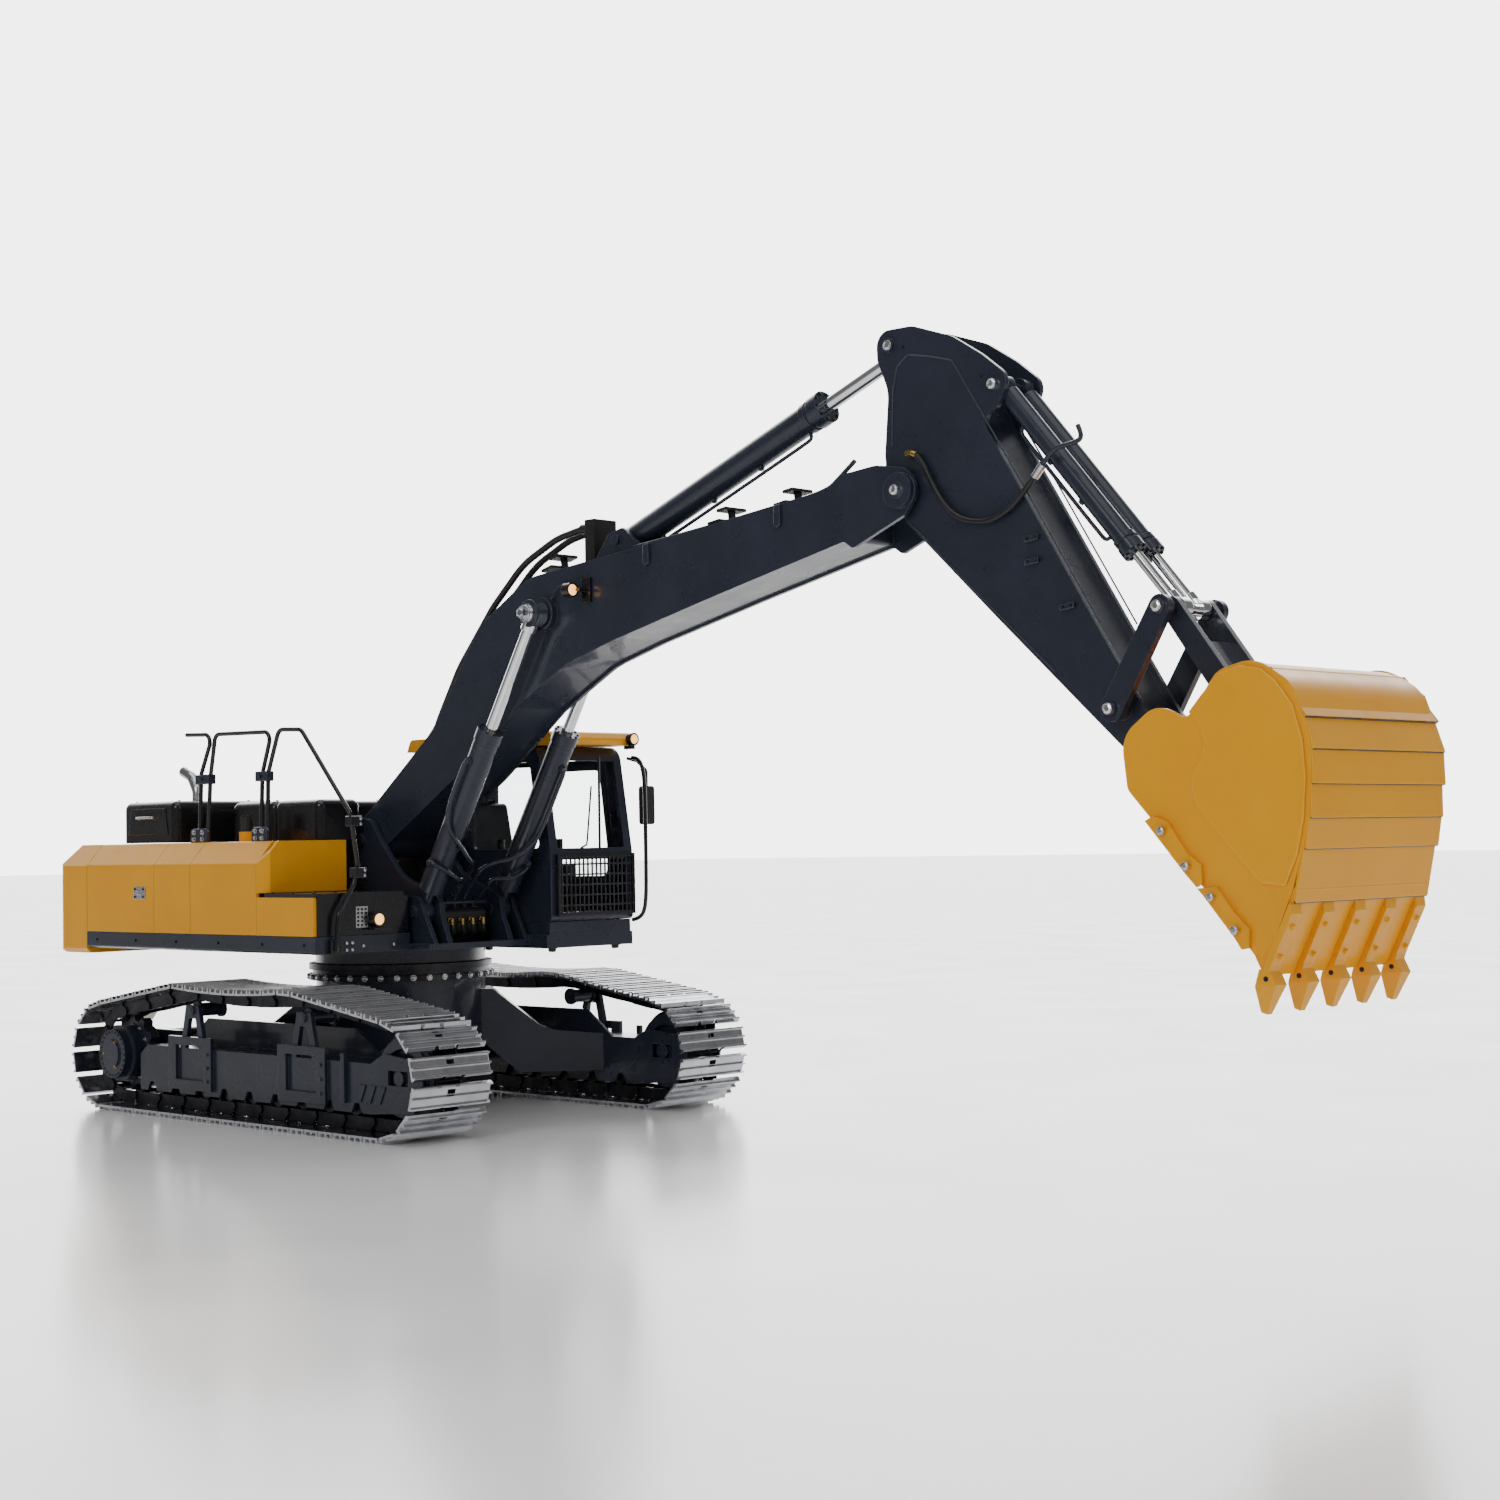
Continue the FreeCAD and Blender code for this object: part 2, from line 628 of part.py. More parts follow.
# ---------------------------------------------------------------- car body and slewing ring

# arched leg in its own vertical plane, from the drum out to the track frames
leg_outline = [(0, 46), (42, 46, 10), (72, 20), (130, 20), (130, 42), (88, 46, 30), (56, 72), (0, 72)]
legs = []
for angle in (52, 128, 232, 308):
    leg = prism("y", leg_outline, "-leg_width / 2", "leg_width / 2")
    turn(leg, (0, 0, 1), angle)
    legs.append(leg)
reach_box = block(-110, 110, f"-({inner_plane})", inner_plane, 0, 100)
drum = cylinder("z", (0, 0), "drum_radius", 44, "ring_low")
x_frame = common(fuse(drum, *legs), reach_box)
shaft_way = cylinder("z", (0, 0), 20, 40, 90)
x_frame = node("x_frame", cut(x_frame, shaft_way))


def ring_gear():
    """Fixed ring with internal teeth and a row of hexagonal bolts below its rim."""
    low, high = dim("ring_low"), dim("ring_high")
    outer = Part.makeCylinder(dim("ring_radius"), high - low, Vector(0, 0, low))
    teeth = gear_outline(88, dim("ring_gear_radius") + 1.0, dim("ring_gear_radius") - 0.7)
    wire = Part.makePolygon([Vector(a, b, low - 1) for a, b in teeth + teeth[:1]])
    ring = outer.cut(Part.Face(wire).extrude(Vector(0, 0, high - low + 2)))
    groove = Part.makeCylinder(60, 3.2, Vector(0, 0, low + 3.2))
    groove = groove.cut(Part.makeCylinder(dim("ring_radius") - 2.2, 3.2, Vector(0, 0, low + 3.2)))
    ring = ring.cut(groove)
    for i in range(30):
        angle = 2 * math.pi * (i + 0.5) / 30
        centre = Vector(54.2 * math.cos(angle), 54.2 * math.sin(angle), high)
        ring = ring.cut(Part.makeCylinder(1.2, 1.4, centre - Vector(0, 0, 1.2)))
    return ring


node("slew_ring", feature(ring_gear()))
bearing = wedge_ring("z", (0, 0), "ring_radius - 4", "ring_gear_radius + 2.5", "ring_high + 0.4", "deck_low")


def pinion():
    x = -(dim("ring_gear_radius") - dim("pinion_radius"))
    count = 16
    half_tooth = math.pi / count
    outline = gear_outline(count, dim("pinion_radius") - 1.2, dim("pinion_radius") + 0.3)
    teeth = [(a * math.cos(half_tooth) - b * math.sin(half_tooth),
              a * math.sin(half_tooth) + b * math.cos(half_tooth)) for a, b in outline]
    wire = Part.makePolygon([Vector(x + a, b, 81) for a, b in teeth + teeth[:1]])
    gear = Part.Face(wire).extrude(Vector(0, 0, 8.5))
    return gear.fuse(Part.makeCylinder(2.5, 12, Vector(x, 0, 89)))


node("swing_pinion", feature(pinion()))

# ---------------------------------------------------------------- upper structure

pinion_x = "pinion_radius - ring_gear_radius"
base = fuse(block("tail_front + 0.4", "platform_front - 0.5", -104, 104, "deck_low", "deck_low + 3.5"),
            block(58, 80, -40, 104, "deck_low", "deck_low + 3.5"))
skirt_high = dim("deck_high")
skirt_outline = [(-108.0, 100.6, 1.0), (-105.6, 99.5, 0.8), (-103.8, 99.5), (-103.8, skirt_high),
                 (-108.0, skirt_high)]
skirt_right = prism("x", skirt_outline, "tail_front + 0.4", 58.5)
skirt_left = mirror(prism("x", skirt_outline, "tail_front + 0.4", "cab_rear - 2"))
platform = block(58, "platform_front", "-body_half", -40, "deck_low", "deck_high")
cab_deck = block("cab_rear - 4", "cab_front - 2", "cab_right - 2", "cab_left + 1", "deck_low - 2", "deck_low + 6")
deck_tool = group(cylinder("z", (pinion_x, 0), 2.55, "deck_low - 3", "deck_low + 4"),
                  cylinder("z", (0, 0), 14, "deck_low - 3", "deck_low + 4"))
ear_low = dim("deck_low") + 3.5
ear_outline = [(-46, ear_low), (-24, 166, 10), (-17, 178, 10), (3, 178.5, 9), (13, 165, 14), (34, 143, 25),
               (58, 134.5, 8), (70, 130, 7), (72, 118, 8), (79, ear_low)]
ear = prism("y", ear_outline, "boom_half + 1", "boom_half + 4.6")
foot_ear_outline = [(44, ear_low), (51, 122, 8), (54, 131, 6), (66, 131, 7), (70, 121, 8), (80, ear_low)]
foot_ear = prism("y", foot_ear_outline, "lift_y + 4.0", "lift_y + 7.0")
ear_web = block(-44, -38, 14, "boom_half + 4.6", "deck_low + 3.5", 118)
half_tower = fuse(ear, foot_ear, ear_web)
foot_bore = cylinder("y", ("boom_foot_x", "boom_foot_z"), "pin_radius", 0, 60)
lift_bore = cylinder("y", ("lift_foot_x", "lift_foot_z"), 3.5, 0, 60)
half_tower = cut(half_tower, foot_bore, lift_bore)
deck = cut(fuse(base, skirt_right, skirt_left, platform, cab_deck), deck_tool)
# plinth under the cab: four strips standing on the deck
plinth_height = ("deck_low + 6", "cab_floor - 0.2")
plinth = [block("cab_front - 5.2", "cab_front - 2.2", "cab_right + 0.5", "cab_left - 0.5", *plinth_height),
          block("cab_rear + 1", "cab_rear + 4", "cab_right + 0.5", "cab_left - 0.5", *plinth_height),
          block("cab_rear + 4", "cab_front - 5.2", "cab_right + 0.5", "cab_right + 3.5", *plinth_height),
          block("cab_rear + 4", "cab_front - 5.2", "cab_left - 3.5", "cab_left - 0.5", *plinth_height)]
foot_pin = cylinder("y", ("boom_foot_x", "boom_foot_z"), "pin_radius - 0.01",
                    "-(boom_half + 6.5)", "boom_half + 6.5")
lift_pin = cylinder("y", ("lift_foot_x", "lift_foot_z"), 3.49, "boom_half + 0.6", "lift_y + 8.5")
node("main_deck", group(deck, bearing, half_tower, mirror(half_tower), foot_pin, lift_pin, mirror(lift_pin),
                        *plinth))


def counterweight():
    """Cast weight: flat front, round tail, bevelled top and rounded lower edge."""
    low, knee, high = 95.8, dim("bevel_z"), dim("hood_z")
    radius, front = dim("tail_radius"), dim("tail_front")
    half, run = dim("body_half"), dim("bevel_run")
    corner = -math.sqrt(radius ** 2 - half ** 2)
    edges = [Part.LineSegment(Vector(front, -half, low), Vector(front, half, low)).toShape(),
             Part.LineSegment(Vector(front, half, low), Vector(corner, half, low)).toShape(),
             Part.Arc(Vector(corner, half, low), Vector(-radius, 0, low), Vector(corner, -half, low)).toShape(),
             Part.LineSegment(Vector(corner, -half, low), Vector(front, -half, low)).toShape()]
    body = Part.Face(Part.Wire(edges)).extrude(Vector(0, 0, high - low))
    upright = [e for e in body.Edges if e.BoundBox.ZLength > 10 and e.CenterOfMass.x < front - 5]
    body = body.makeFillet(7.0, upright)
    profile = [(-half + 3, low), (half - 3, low), (half, low + 3), (half, knee), (half - run, high),
               (run - half, high), (-half, knee), (-half, low + 3)]
    wire = Part.makePolygon([Vector(-radius - 2, a, b) for a, b in profile + profile[:1]])
    body = body.common(Part.Face(wire).extrude(Vector(radius + 2 + front, 0, 0)))
    tail = Part.makeCylinder(radius, knee - low - 3, Vector(0, 0, low + 3))
    tail = tail.fuse([Part.makeCone(radius - 3, radius, 3, Vector(0, 0, low)),
                      Part.makeCone(radius, radius - run, high - knee, Vector(0, 0, knee))])
    body = body.common(tail).removeSplitter()
    eyes = [Part.makeCylinder(2.2, 14, Vector(-212, y, high - 12)) for y in (-60, 60)]
    return body.cut(Part.makeCompound(eyes))


node("counterweight", feature(counterweight()))


def panel_outline(side, inner_reach):
    """Bevelled side panel, seen along the machine."""
    half, wall, run = dim("body_half"), dim("panel_wall"), dim("bevel_run")
    low, knee, top = dim("deck_high") + 0.3, dim("bevel_z"), dim("hood_z")
    points = [(half, low), (half, knee, 2), (half - run, top, 2), (inner_reach, top),
              (inner_reach, top - wall), (half - run - 1.2, top - wall), (half - wall, knee - 1), (half - wall, low)]
    if side < 0:
        return [(-p[0],) + tuple(p[1:]) for p in points]
    return points


for name, side in (("right_door", -1), ("left_door", 1)):
    door = prism("x", panel_outline(side, 88.5), "tail_front + 0.9", "door_front - 0.3")
    node(name, door)
right_rear = prism("x", panel_outline(-1, 60.5), "door_front + 0.3", "middle_seam - 0.3")
right_front = prism("x", panel_outline(-1, 60.5), "middle_seam + 0.3", "panel_front")
right_front = cut(right_front, cylinder("z", (-48, -80), 5.0, 155, 170))
left_rear = prism("x", panel_outline(1, 60.5), "door_front + 0.3", "middle_seam - 0.3")
left_front = prism("x", panel_outline(1, 60.5), "middle_seam + 0.3", "cab_rear - 6")
rail = block("tail_front + 0.9", "door_front - 0.3", 60.5, 87.9, "hood_z - panel_wall", "hood_z")
corner_plan = [(2.9, -108), (8.6, -102, 1), (8.6, -47), (6.1, -47), (6.1, -100), (2.9, -104)]
corner_body = prism("z", corner_plan, 134.8, "hood_z")
corner_profile = prism("x", [(-108, 134), (-108, 152, 2), (-96, 165.5, 2), (-40, 165.5), (-40, 134)], 0, 12)
side_box = block("panel_front + 0.5", 59.4, "-body_half", "-body_half + 2.4", "deck_high + 0.3", 132.3)
long_panels = group(right_front, right_rear, left_rear, left_front, rail, mirror(rail))
node("side_panels", group(long_panels, side_box, common(corner_body, corner_profile)))

tank = block(-66, 0, -93, -66, "deck_high + 0.5", 162.5)
neck = cylinder("z", (-48, -80), 4.6, 160, 171.6)
node("fuel_tank", fuse(tank, neck))
cap = fuse(cylinder("z", (-48, -80), 3.6, 172, 180.6), block(-52.4, -43.6, -80.8, -79.2, 178, 182))
node("fuel_cap", cap)

lid_top, box_low = dim("box_top"), dim("deck_high") + 0.3
box_outline = [(-105.4, box_low), (-105.4, 132.6), (-107.5, 132.6), (-107.5, lid_top), (-41, lid_top),
               (-41, box_low)]
tool_box = prism("x", box_outline, "panel_front + 8.2", "platform_front - 0.5")
box_hollow = block("panel_front + 11", "platform_front - 3.5", -102, -44, 113, 130)
node("tool_box", cut(tool_box, box_hollow))
lamp_shelf = block("platform_front - 0.4", "platform_front + 6", -70, -58, 112.6, 113.8)
lamp_head = cylinder("x", (-66, 118.6), 4.4, "platform_front - 0.4", "platform_front + 5.2")
deck_lamp = fuse(lamp_shelf, lamp_head)


def cover(x0, x1, half, z0, z1, corner, wall):
    """Rounded hollow cover, open below."""
    outer = Part.makeBox(x1 - x0, 2 * half, z1 - z0, Vector(x0, -half, z0))
    edges = [e for e in outer.Edges if e.CenterOfMass.z > z0 + 0.1]
    outer = outer.makeFillet(corner, edges)
    inner = Part.makeBox(x1 - x0 - 2 * wall, 2 * (half - wall), z1 - z0 - wall, Vector(x0 + wall, wall - half, z0))
    return outer.cut(inner)


hood = cover(-182.0, -120.0, 85.0, dim("hood_z") + 0.5, 192.4, 5.0, 2.2)
node("engine_hood", feature(hood))
cover_low = dim("hood_z") + 0.5
pump_cover = cover(-95.0, -48.0, 60.0, cover_low, 190.6, 5.0, 2.2)
valve_cover = cover(-47.5, 0.0, 16.0, cover_low, 190.6, 5.0, 2.2)
valve_cover.translate(Vector(0, -44.5, 0))
node("pump_cover", feature(Part.makeCompound([pump_cover, valve_cover])))

exhaust = tube([(-133, -60, 192.4), (-133, -60, 199), (-139, -60, 208), (-149, -60, 212)], 3.4, 8)
node("exhaust_pipe", exhaust)

RAIL = 1.35


def rail_tube(points, bend):
    return tube(points, RAIL, bend)


rail_y = -90
rail_foot = dim("hood_z") + 0.05
rear_rail = rail_tube([(-98, rail_y, 233), (-69, rail_y, 232), (-82, rail_y, 208), (-84, rail_y, rail_foot)], 5)
middle_rail = rail_tube([(-75, rail_y, rail_foot), (-72, rail_y, 205), (-66, rail_y, 232), (-6, rail_y, 231),
                         (-16, rail_y, 206), (-18, rail_y, rail_foot)], 5)
front_rail = rail_tube([(-11, rail_y, rail_foot), (-10, rail_y, 206), (1.5, rail_y, 232), (24, rail_y, 231),
                        (64, -84, 180), (64.5, -80, 150), (64.5, -83, 139), (64.5, -94, 122), (64.5, -96, 101)], 6)
left_rail = rail_tube([(-100, 88, rail_foot), (-100, 88, 222), (-56, 88, 222), (-56, 88, rail_foot)], 7)
rail_plate = feature(Part.makeBox(3, 8, 9, Vector(61.05, -99, 98.5)))
node("handrails", group(rear_rail, middle_rail, fuse(front_rail, rail_plate), left_rail))

# drive parts under the covers
floor = "deck_low + 3.8"
node("battery", block(-184, -136, -24, 24, floor, 138))
motor = fuse(cylinder("x", (-42, 128), 17, -122, -74), cylinder("x", (-42, 128), 2.5, -74, -68),
             block(-122, -80, -56, -28, floor, 114))
pump = cut(fuse(block(-67.5, -46, -56, -28, floor, 146), cylinder("y", (-57, 138), 5, -64, -56)),
           cylinder("x", (-42, 128), 2.9, -69, -60))
node("hydraulic_pump", group(motor, pump))
oil_tank = fuse(block(-125, -66, 22, 88, floor, 152), cylinder("z", (-95, 55), 9, 152, 158))
node("oil_tank", oil_tank)
valve_block = block(-42, 2, -60, -43, floor, 126)
valve_places = (-36, -28, -20, -12, -4)
spools = [cylinder("y", (x, 116), 2.8, -43.5, -36) for x in valve_places]
servos = [block(x - 3, x + 3, -35.5, -27.5, floor, 124) for x in valve_places]
node("valve_block", group(fuse(valve_block, *spools), *servos))
node("receiver_box", block(-184, -140, -90, -40, floor, 122))
swing_motor = fuse(cylinder("z", (pinion_x, 0), 9, floor, 132), cylinder("z", (pinion_x, 0), 11, 132, 147))
node("swing_motor", cut(swing_motor, cylinder("z", (pinion_x, 0), 2.55, floor, 104)))

# ---------------------------------------------------------------- cab

CAB_SIDE = [(-38, 113.4), (98.6, 113.4, 3), (98.6, 156, 2), (88, 221, 10), (-30, 221, 8), (-38, 212, 6)]


SIDE_WINDOW = [(24, 158, 4), (88.5, 158, 3), (80, 211, 5), (24, 211, 5)]
REAR_SIDE_WINDOW = [(-30, 158, 4), (14, 158, 4), (14, 211, 4), (-30, 211, 4)]
DOOR = [(16, 117, 4), (84.5, 117, 4), (84.5, 160, 2), (77.5, 214, 6), (16, 214, 5)]
DOOR_WINDOW = [(23, 140, 5), (78.5, 140, 5), (78.5, 160, 2), (72, 207, 5), (23, 207, 5)]


def cab_windows(shrink):
    """Window openings through the cab's walls."""
    right, left = dim("cab_right"), dim("cab_left")
    cut_right = [slab(w, shrink, right - 2, right + 6) for w in (SIDE_WINDOW, REAR_SIDE_WINDOW)]
    cut_left = [slab(REAR_SIDE_WINDOW, shrink, left - 6, left + 2)]
    y0, y1 = right + 6 + shrink, left - 6 - shrink
    front = Part.makeBox(30, y1 - y0, 212 - 158 - 2 * shrink, Vector(78, y0, 158 + shrink))
    rear = Part.makeBox(8, y1 - y0, 208 - 152 - 2 * shrink, Vector(-42, y0, 152 + shrink))
    low = Part.makeBox(8, y1 - y0, 151 - 119 - 2 * shrink, Vector(93, y0, 119 + shrink))
    return cut_right + cut_left + [front, rear, low]


def cab_shell():
    right, left, wall = dim("cab_right"), dim("cab_left"), dim("cab_wall")
    shell = slab(CAB_SIDE, 0, right, left).cut(slab(CAB_SIDE, wall, right + wall, left - wall))
    return shell.cut(cab_windows(0) + [slab(DOOR, 0, left - 6, left + 2)])


def cab_glass():
    right, left = dim("cab_right"), dim("cab_left")
    skin = slab(CAB_SIDE, 0.9, right + 0.9, left - 0.9).cut(slab(CAB_SIDE, 2.1, right + 2.1, left - 2.1))
    panes = [skin.common(w) for w in cab_windows(0.1)]
    return Part.makeCompound(panes)


def cab_door():
    left, wall = dim("cab_left"), dim("cab_wall")
    door = slab(DOOR, 0.4, left - wall, left).cut(slab(DOOR_WINDOW, 0, left - wall - 1, left + 1))
    handle = exact_round((70, left + 1.6, 128), (70, left + 1.6, 138), 0.9)
    stems = [exact_round((70, left - 1, z), (70, left + 1.6, z), 0.8) for z in (129, 137)]
    return door.fuse([handle] + stems)


node("cab_shell", feature(cab_shell()))
node("cab_glass", feature(cab_glass()))
node("cab_door", feature(cab_door()))

roof_outline = [(-40, 221.4), (101, 221.4, 2), (104, 224.5, 2), (99, 229.5, 4), (-36, 229.5, 4)]
node("cab_roof", prism("y", roof_outline, "cab_right - 1", "cab_left + 1"))
lamp_cup = [cylinder("x", (y, 225.2), 4.0, 104.4, 108.2) for y in (44, 100.5)]
lamp_arm = [block(100, 104.6, y - 1.5, y + 1.5, 219.0, 221.2) for y in (44, 100.5)]
lamp_stem = [block(104.6, 107, y - 1.5, y + 1.5, 219.0, 222.4) for y in (44, 100.5)]
cab_lamps = [fuse(*lamp) for lamp in zip(lamp_cup, lamp_arm, lamp_stem)]
node("work_lamps", group(deck_lamp, *cab_lamps))


def grille():
    """Barred guard over the lower front window."""
    x0, x1 = 100.0, 101.6
    y0, y1, z0, z1 = 42.0, 105.5, 116.7, 154.4
    frame = Part.makeBox(x1 - x0, y1 - y0, z1 - z0, Vector(x0, y0, z0))
    frame = frame.cut(Part.makeBox(4, y1 - y0 - 4, z1 - z0 - 4, Vector(x0 - 1, y0 + 2, z0 + 2)))
    wide, high = y1 - y0, z1 - z0
    rows, columns = 6, 18
    bars = [Part.makeBox(0.8, wide, 1.0, Vector(x0 + 0.4, y0, z0 + high * k / rows - 0.5)) for k in range(1, rows)]
    bars += [Part.makeBox(0.8, 0.9, high, Vector(x0 + 0.4, y0 + wide * k / columns - 0.45, z0))
             for k in range(1, columns)]
    feet = [Part.makeBox(1.6, 2, 3, Vector(98.7, y, z)) for y in (y0, y1 - 2) for z in (z0 + 1, z1 - 4)]
    return frame.fuse(bars + feet)


node("cab_guard", feature(grille()))
seat_base = prism("y", [(0, 118), (44, 118, 3), (46, 137, 4), (0, 140, 4)], 56, 90)
seat_back = prism("y", [(-4, 138, 3), (8, 141, 3), (-2, 188, 4), (-12, 187, 4)], 57, 89)
head_rest = prism("y", [(-11, 189.5, 2), (-3, 190, 2), (-4, 204, 3), (-12, 203, 3)], 64, 82)
seat = fuse(seat_base, seat_back, head_rest, block(-9, -5, 70, 76, 185, 192))
consoles = [block(10, 50, y, y + 8, 117, 148) for y in (45, 93)]
levers = [fuse(cylinder("z", (40, y), 1.0, 148, 158), cylinder("z", (40, y), 2.2, 156, 164)) for y in (49, 97)]
node("cab_interior", group(seat, *[fuse(*c) for c in zip(consoles, levers)]))
mirror_arm = tube([(92, 108.6, 214), (97, 113, 212), (101, 117, 206), (101, 117, 196)], 1.0, 3)
mirror_head = prism("x", [(112.5, 172, 2), (121.5, 172, 2), (121.5, 196.2, 2), (112.5, 196.2, 2)], 98.5, 103.5)
node("cab_mirror", fuse(mirror_arm, mirror_head))

# ---------------------------------------------------------------- boom

BOOM = [(-17, 154, 11), (2, 155, 14), (81, 201.2, 60), (135, 238.8, 30), (181.8, 262.4, 60), (221.8, 273.1, 80),
        (299.3, 290.4), (394, 310.5, 4), (400, 306.5, 3), (418, 313.5, 8), (435, 320, 9), (443, 331, 8),
        (437, 343, 9), (416, 346.5, 12), (392, 344.5, 10), (384, 338.5, 8), (252.4, 324), (150, 314, 40),
        (106, 290, 40), (60, 230, 70), (-18, 172, 11)]
BOOM_BOX = [(10, 162.6, 3), (81, 203.0, 60), (135, 240.5, 30), (181.8, 263.8, 60), (221.8, 274.4, 80),
            (299.3, 291.6), (394, 311.7, 3), (394, 334.5, 3), (252.4, 321), (150, 309.5, 38), (108, 286, 38),
            (62, 226, 68), (8, 185, 3)]


def box_beam(outline, box_outline, half, wall, skin):
    """Welded beam: two side plates and a closed box between them."""
    plates = [slab(outline, 0, half - wall, half), slab(outline, 0, -half, wall - half)]
    box = slab(box_outline, 0, wall - half, half - wall)
    box = box.cut(slab(box_outline, skin, wall - half - 1, half - wall + 1))
    return plates[0].fuse([plates[1], box])


def pivot(name):
    """X and Z of a pivot."""
    return dim(name + "_x"), dim(name + "_z")


def boom():
    half, wall = dim("boom_half"), dim("plate_wall")
    pin, fit = dim("pin_radius"), dim("pin_fit")
    beam = box_beam(BOOM, BOOM_BOX, half, wall, 2.2)
    foot = y_disc(*pivot("boom_foot"), 11.0, -half, half)
    nose = [y_disc(*pivot("arm_pivot"), 9.0, s * (half + 1.5) - 1.5, s * (half + 1.5) + 1.5) for s in (-1, 1)]
    lift = [y_disc(*pivot("lift_eye"), 9.5, s * (half + 2) - 2, s * (half + 2) + 2) for s in (-1, 1)]
    lift_tube = y_disc(*pivot("lift_eye"), 6.0, -half, half)
    sx, sz = pivot("stick_foot")
    ear_line = [(sx - 22, sz - 14), (sx - 7, sz + 4, 5), (sx + 5, sz + 6.5, 5), (sx + 12, sz, 4), (sx + 30, sz - 12)]
    ears = [slab(ear_line, 0, y, y + 3.5) for y in (8.5, -12.0)]
    stick_pin = y_disc(sx, sz, 3.0, -14.0, 14.0)
    pin_solid = y_disc(*pivot("arm_pivot"), pin, -half - 3.4, half + 3.4)
    body = beam.fuse([foot, lift_tube] + nose + lift + ears + [stick_pin, pin_solid])
    bore = y_disc(*pivot("boom_foot"), pin + fit - 0.01, -half - 1, half + 1)
    return body.cut(bore).removeSplitter()


node("boom", feature(boom()))


def cylinder_frame(foot, eye):
    """Unit vector from the foot pin to the rod pin, and their distance."""
    line = Vector(eye[0] - foot[0], 0, eye[1] - foot[1])
    length = line.Length
    return line.normalize(), length


def barrel(foot, eye, y, radius, start_at, body_end, gland_radius, gland_length, eye_radius, eye_half, bore):
    """Cylinder barrel with foot eye, neck, collar and flanged gland; hollow for its rod."""
    along, _ = cylinder_frame(foot, eye)
    base = Vector(foot[0], y, foot[1])
    tube_solid = Part.makeCylinder(radius, body_end - start_at, base + along * start_at, along)
    neck = Part.makeCylinder(min(eye_half, radius), start_at + 1, base, along)
    gland = Part.makeCylinder(gland_radius, gland_length, base + along * (body_end - gland_length), along)
    collar_at = base + along * (body_end - 1.9 * gland_length)
    collar = Part.makeCylinder(gland_radius * 0.94, gland_length * 0.5, collar_at, along)
    eye_solid = y_disc(foot[0], foot[1], eye_radius, y - eye_half, y + eye_half)
    body = tube_solid.fuse([neck, gland, collar, eye_solid])
    hollow = start_at + 4
    inner = Part.makeCylinder(radius - 1.8, body_end - hollow - gland_length, base + along * hollow, along)
    return body.cut([inner, y_disc(foot[0], foot[1], bore, y - eye_half - 1, y + eye_half + 1)])


def rod_way(foot, eye, y, rod_radius, start_at, body_end):
    along, _ = cylinder_frame(foot, eye)
    base = Vector(foot[0], y, foot[1])
    return Part.makeCylinder(rod_radius + 0.08, body_end - start_at, base + along * (start_at + 4), along)


def rod(foot, eye, y, rod_radius, inside, eye_radius, eye_half, piston):
    """Chromed rod with its eye and piston head."""
    along, length = cylinder_frame(foot, eye)
    base = Vector(foot[0], y, foot[1])
    bar = Part.makeCylinder(rod_radius, length - inside - eye_radius * 0.5, base + along * inside, along)
    head = Part.makeCylinder(piston, 6, base + along * inside, along)
    end = y_disc(eye[0], eye[1], eye_radius, y - eye_half, y + eye_half)
    neck = Part.makeCylinder(rod_radius + 1.2, eye_radius + 3, base + along * (length - eye_radius - 3), along)
    return bar.fuse([head, end, neck])


# distances from the foot pin at which each barrel starts and ends
LIFT_START, STICK_START, CURL_START = 15.5, 8.0, 6.0
LIFT_END, STICK_END, CURL_END = 124.0, 159.0, 115.0

lift_foot, lift_eye = pivot("lift_foot"), pivot("lift_eye")
lift_barrels, lift_rods = [], []
for s in (-1, 1):
    y = s * dim("lift_y")
    shell = barrel(lift_foot, lift_eye, y, dim("lift_barrel"), LIFT_START, LIFT_END, 8.0, 7.0, 7.0, 3.4, 3.55)
    lift_barrels.append(shell.cut(rod_way(lift_foot, lift_eye, y, 3.6, LIFT_START, LIFT_END)))
    stem = rod(lift_foot, lift_eye, y, 3.6, 60.0, 7.5, 3.6, 5.5)
    pin_end = [y_disc(*lift_eye, 4.2, *span(y, 3.6, 7.0)), y_disc(*lift_eye, 5.4, *span(y, 4.4, 6.2))]
    lift_rods.append(stem.fuse(pin_end))
node("boom_cylinder_barrels", feature(Part.makeCompound(lift_barrels)))
node("boom_cylinder_rods", feature(Part.makeCompound(lift_rods)))

stick_foot, stick_eye = pivot("stick_foot"), pivot("stick_eye")
shell = barrel(stick_foot, stick_eye, 0, dim("stick_barrel"), STICK_START, STICK_END, 9.0, 7.0, 7.0, 8.0, 3.05)
node("arm_cylinder_barrel", feature(shell.cut(rod_way(stick_foot, stick_eye, 0, 3.8, STICK_START, STICK_END))))
stem = rod(stick_foot, stick_eye, 0, 3.8, 78.0, 7.0, 6.5, 5.9)
node("arm_cylinder_rod", feature(stem.fuse(y_disc(*stick_eye, 3.4, -12.0, 12.0))))
# lamp on the right side plate of the boom, behind the cylinder boss
lamp_x, lamp_z = 194.5, 302.5
lamp_foot = Part.makeBox(7, 1.5, 14, Vector(lamp_x + 3, -dim("boom_half") - 1.6, lamp_z - 7))
lamp_arm = Part.makeBox(5, 7, 1.5, Vector(lamp_x + 3, -dim("boom_half") - 7.5, lamp_z - 0.7))
lamp_head = Part.makeCylinder(4.2, 5.5, Vector(lamp_x - 1.5, -dim("boom_half") - 9.0, lamp_z), Vector(1, 0, 0))
node("boom_lamp", feature(lamp_foot.fuse([lamp_arm, lamp_head])))

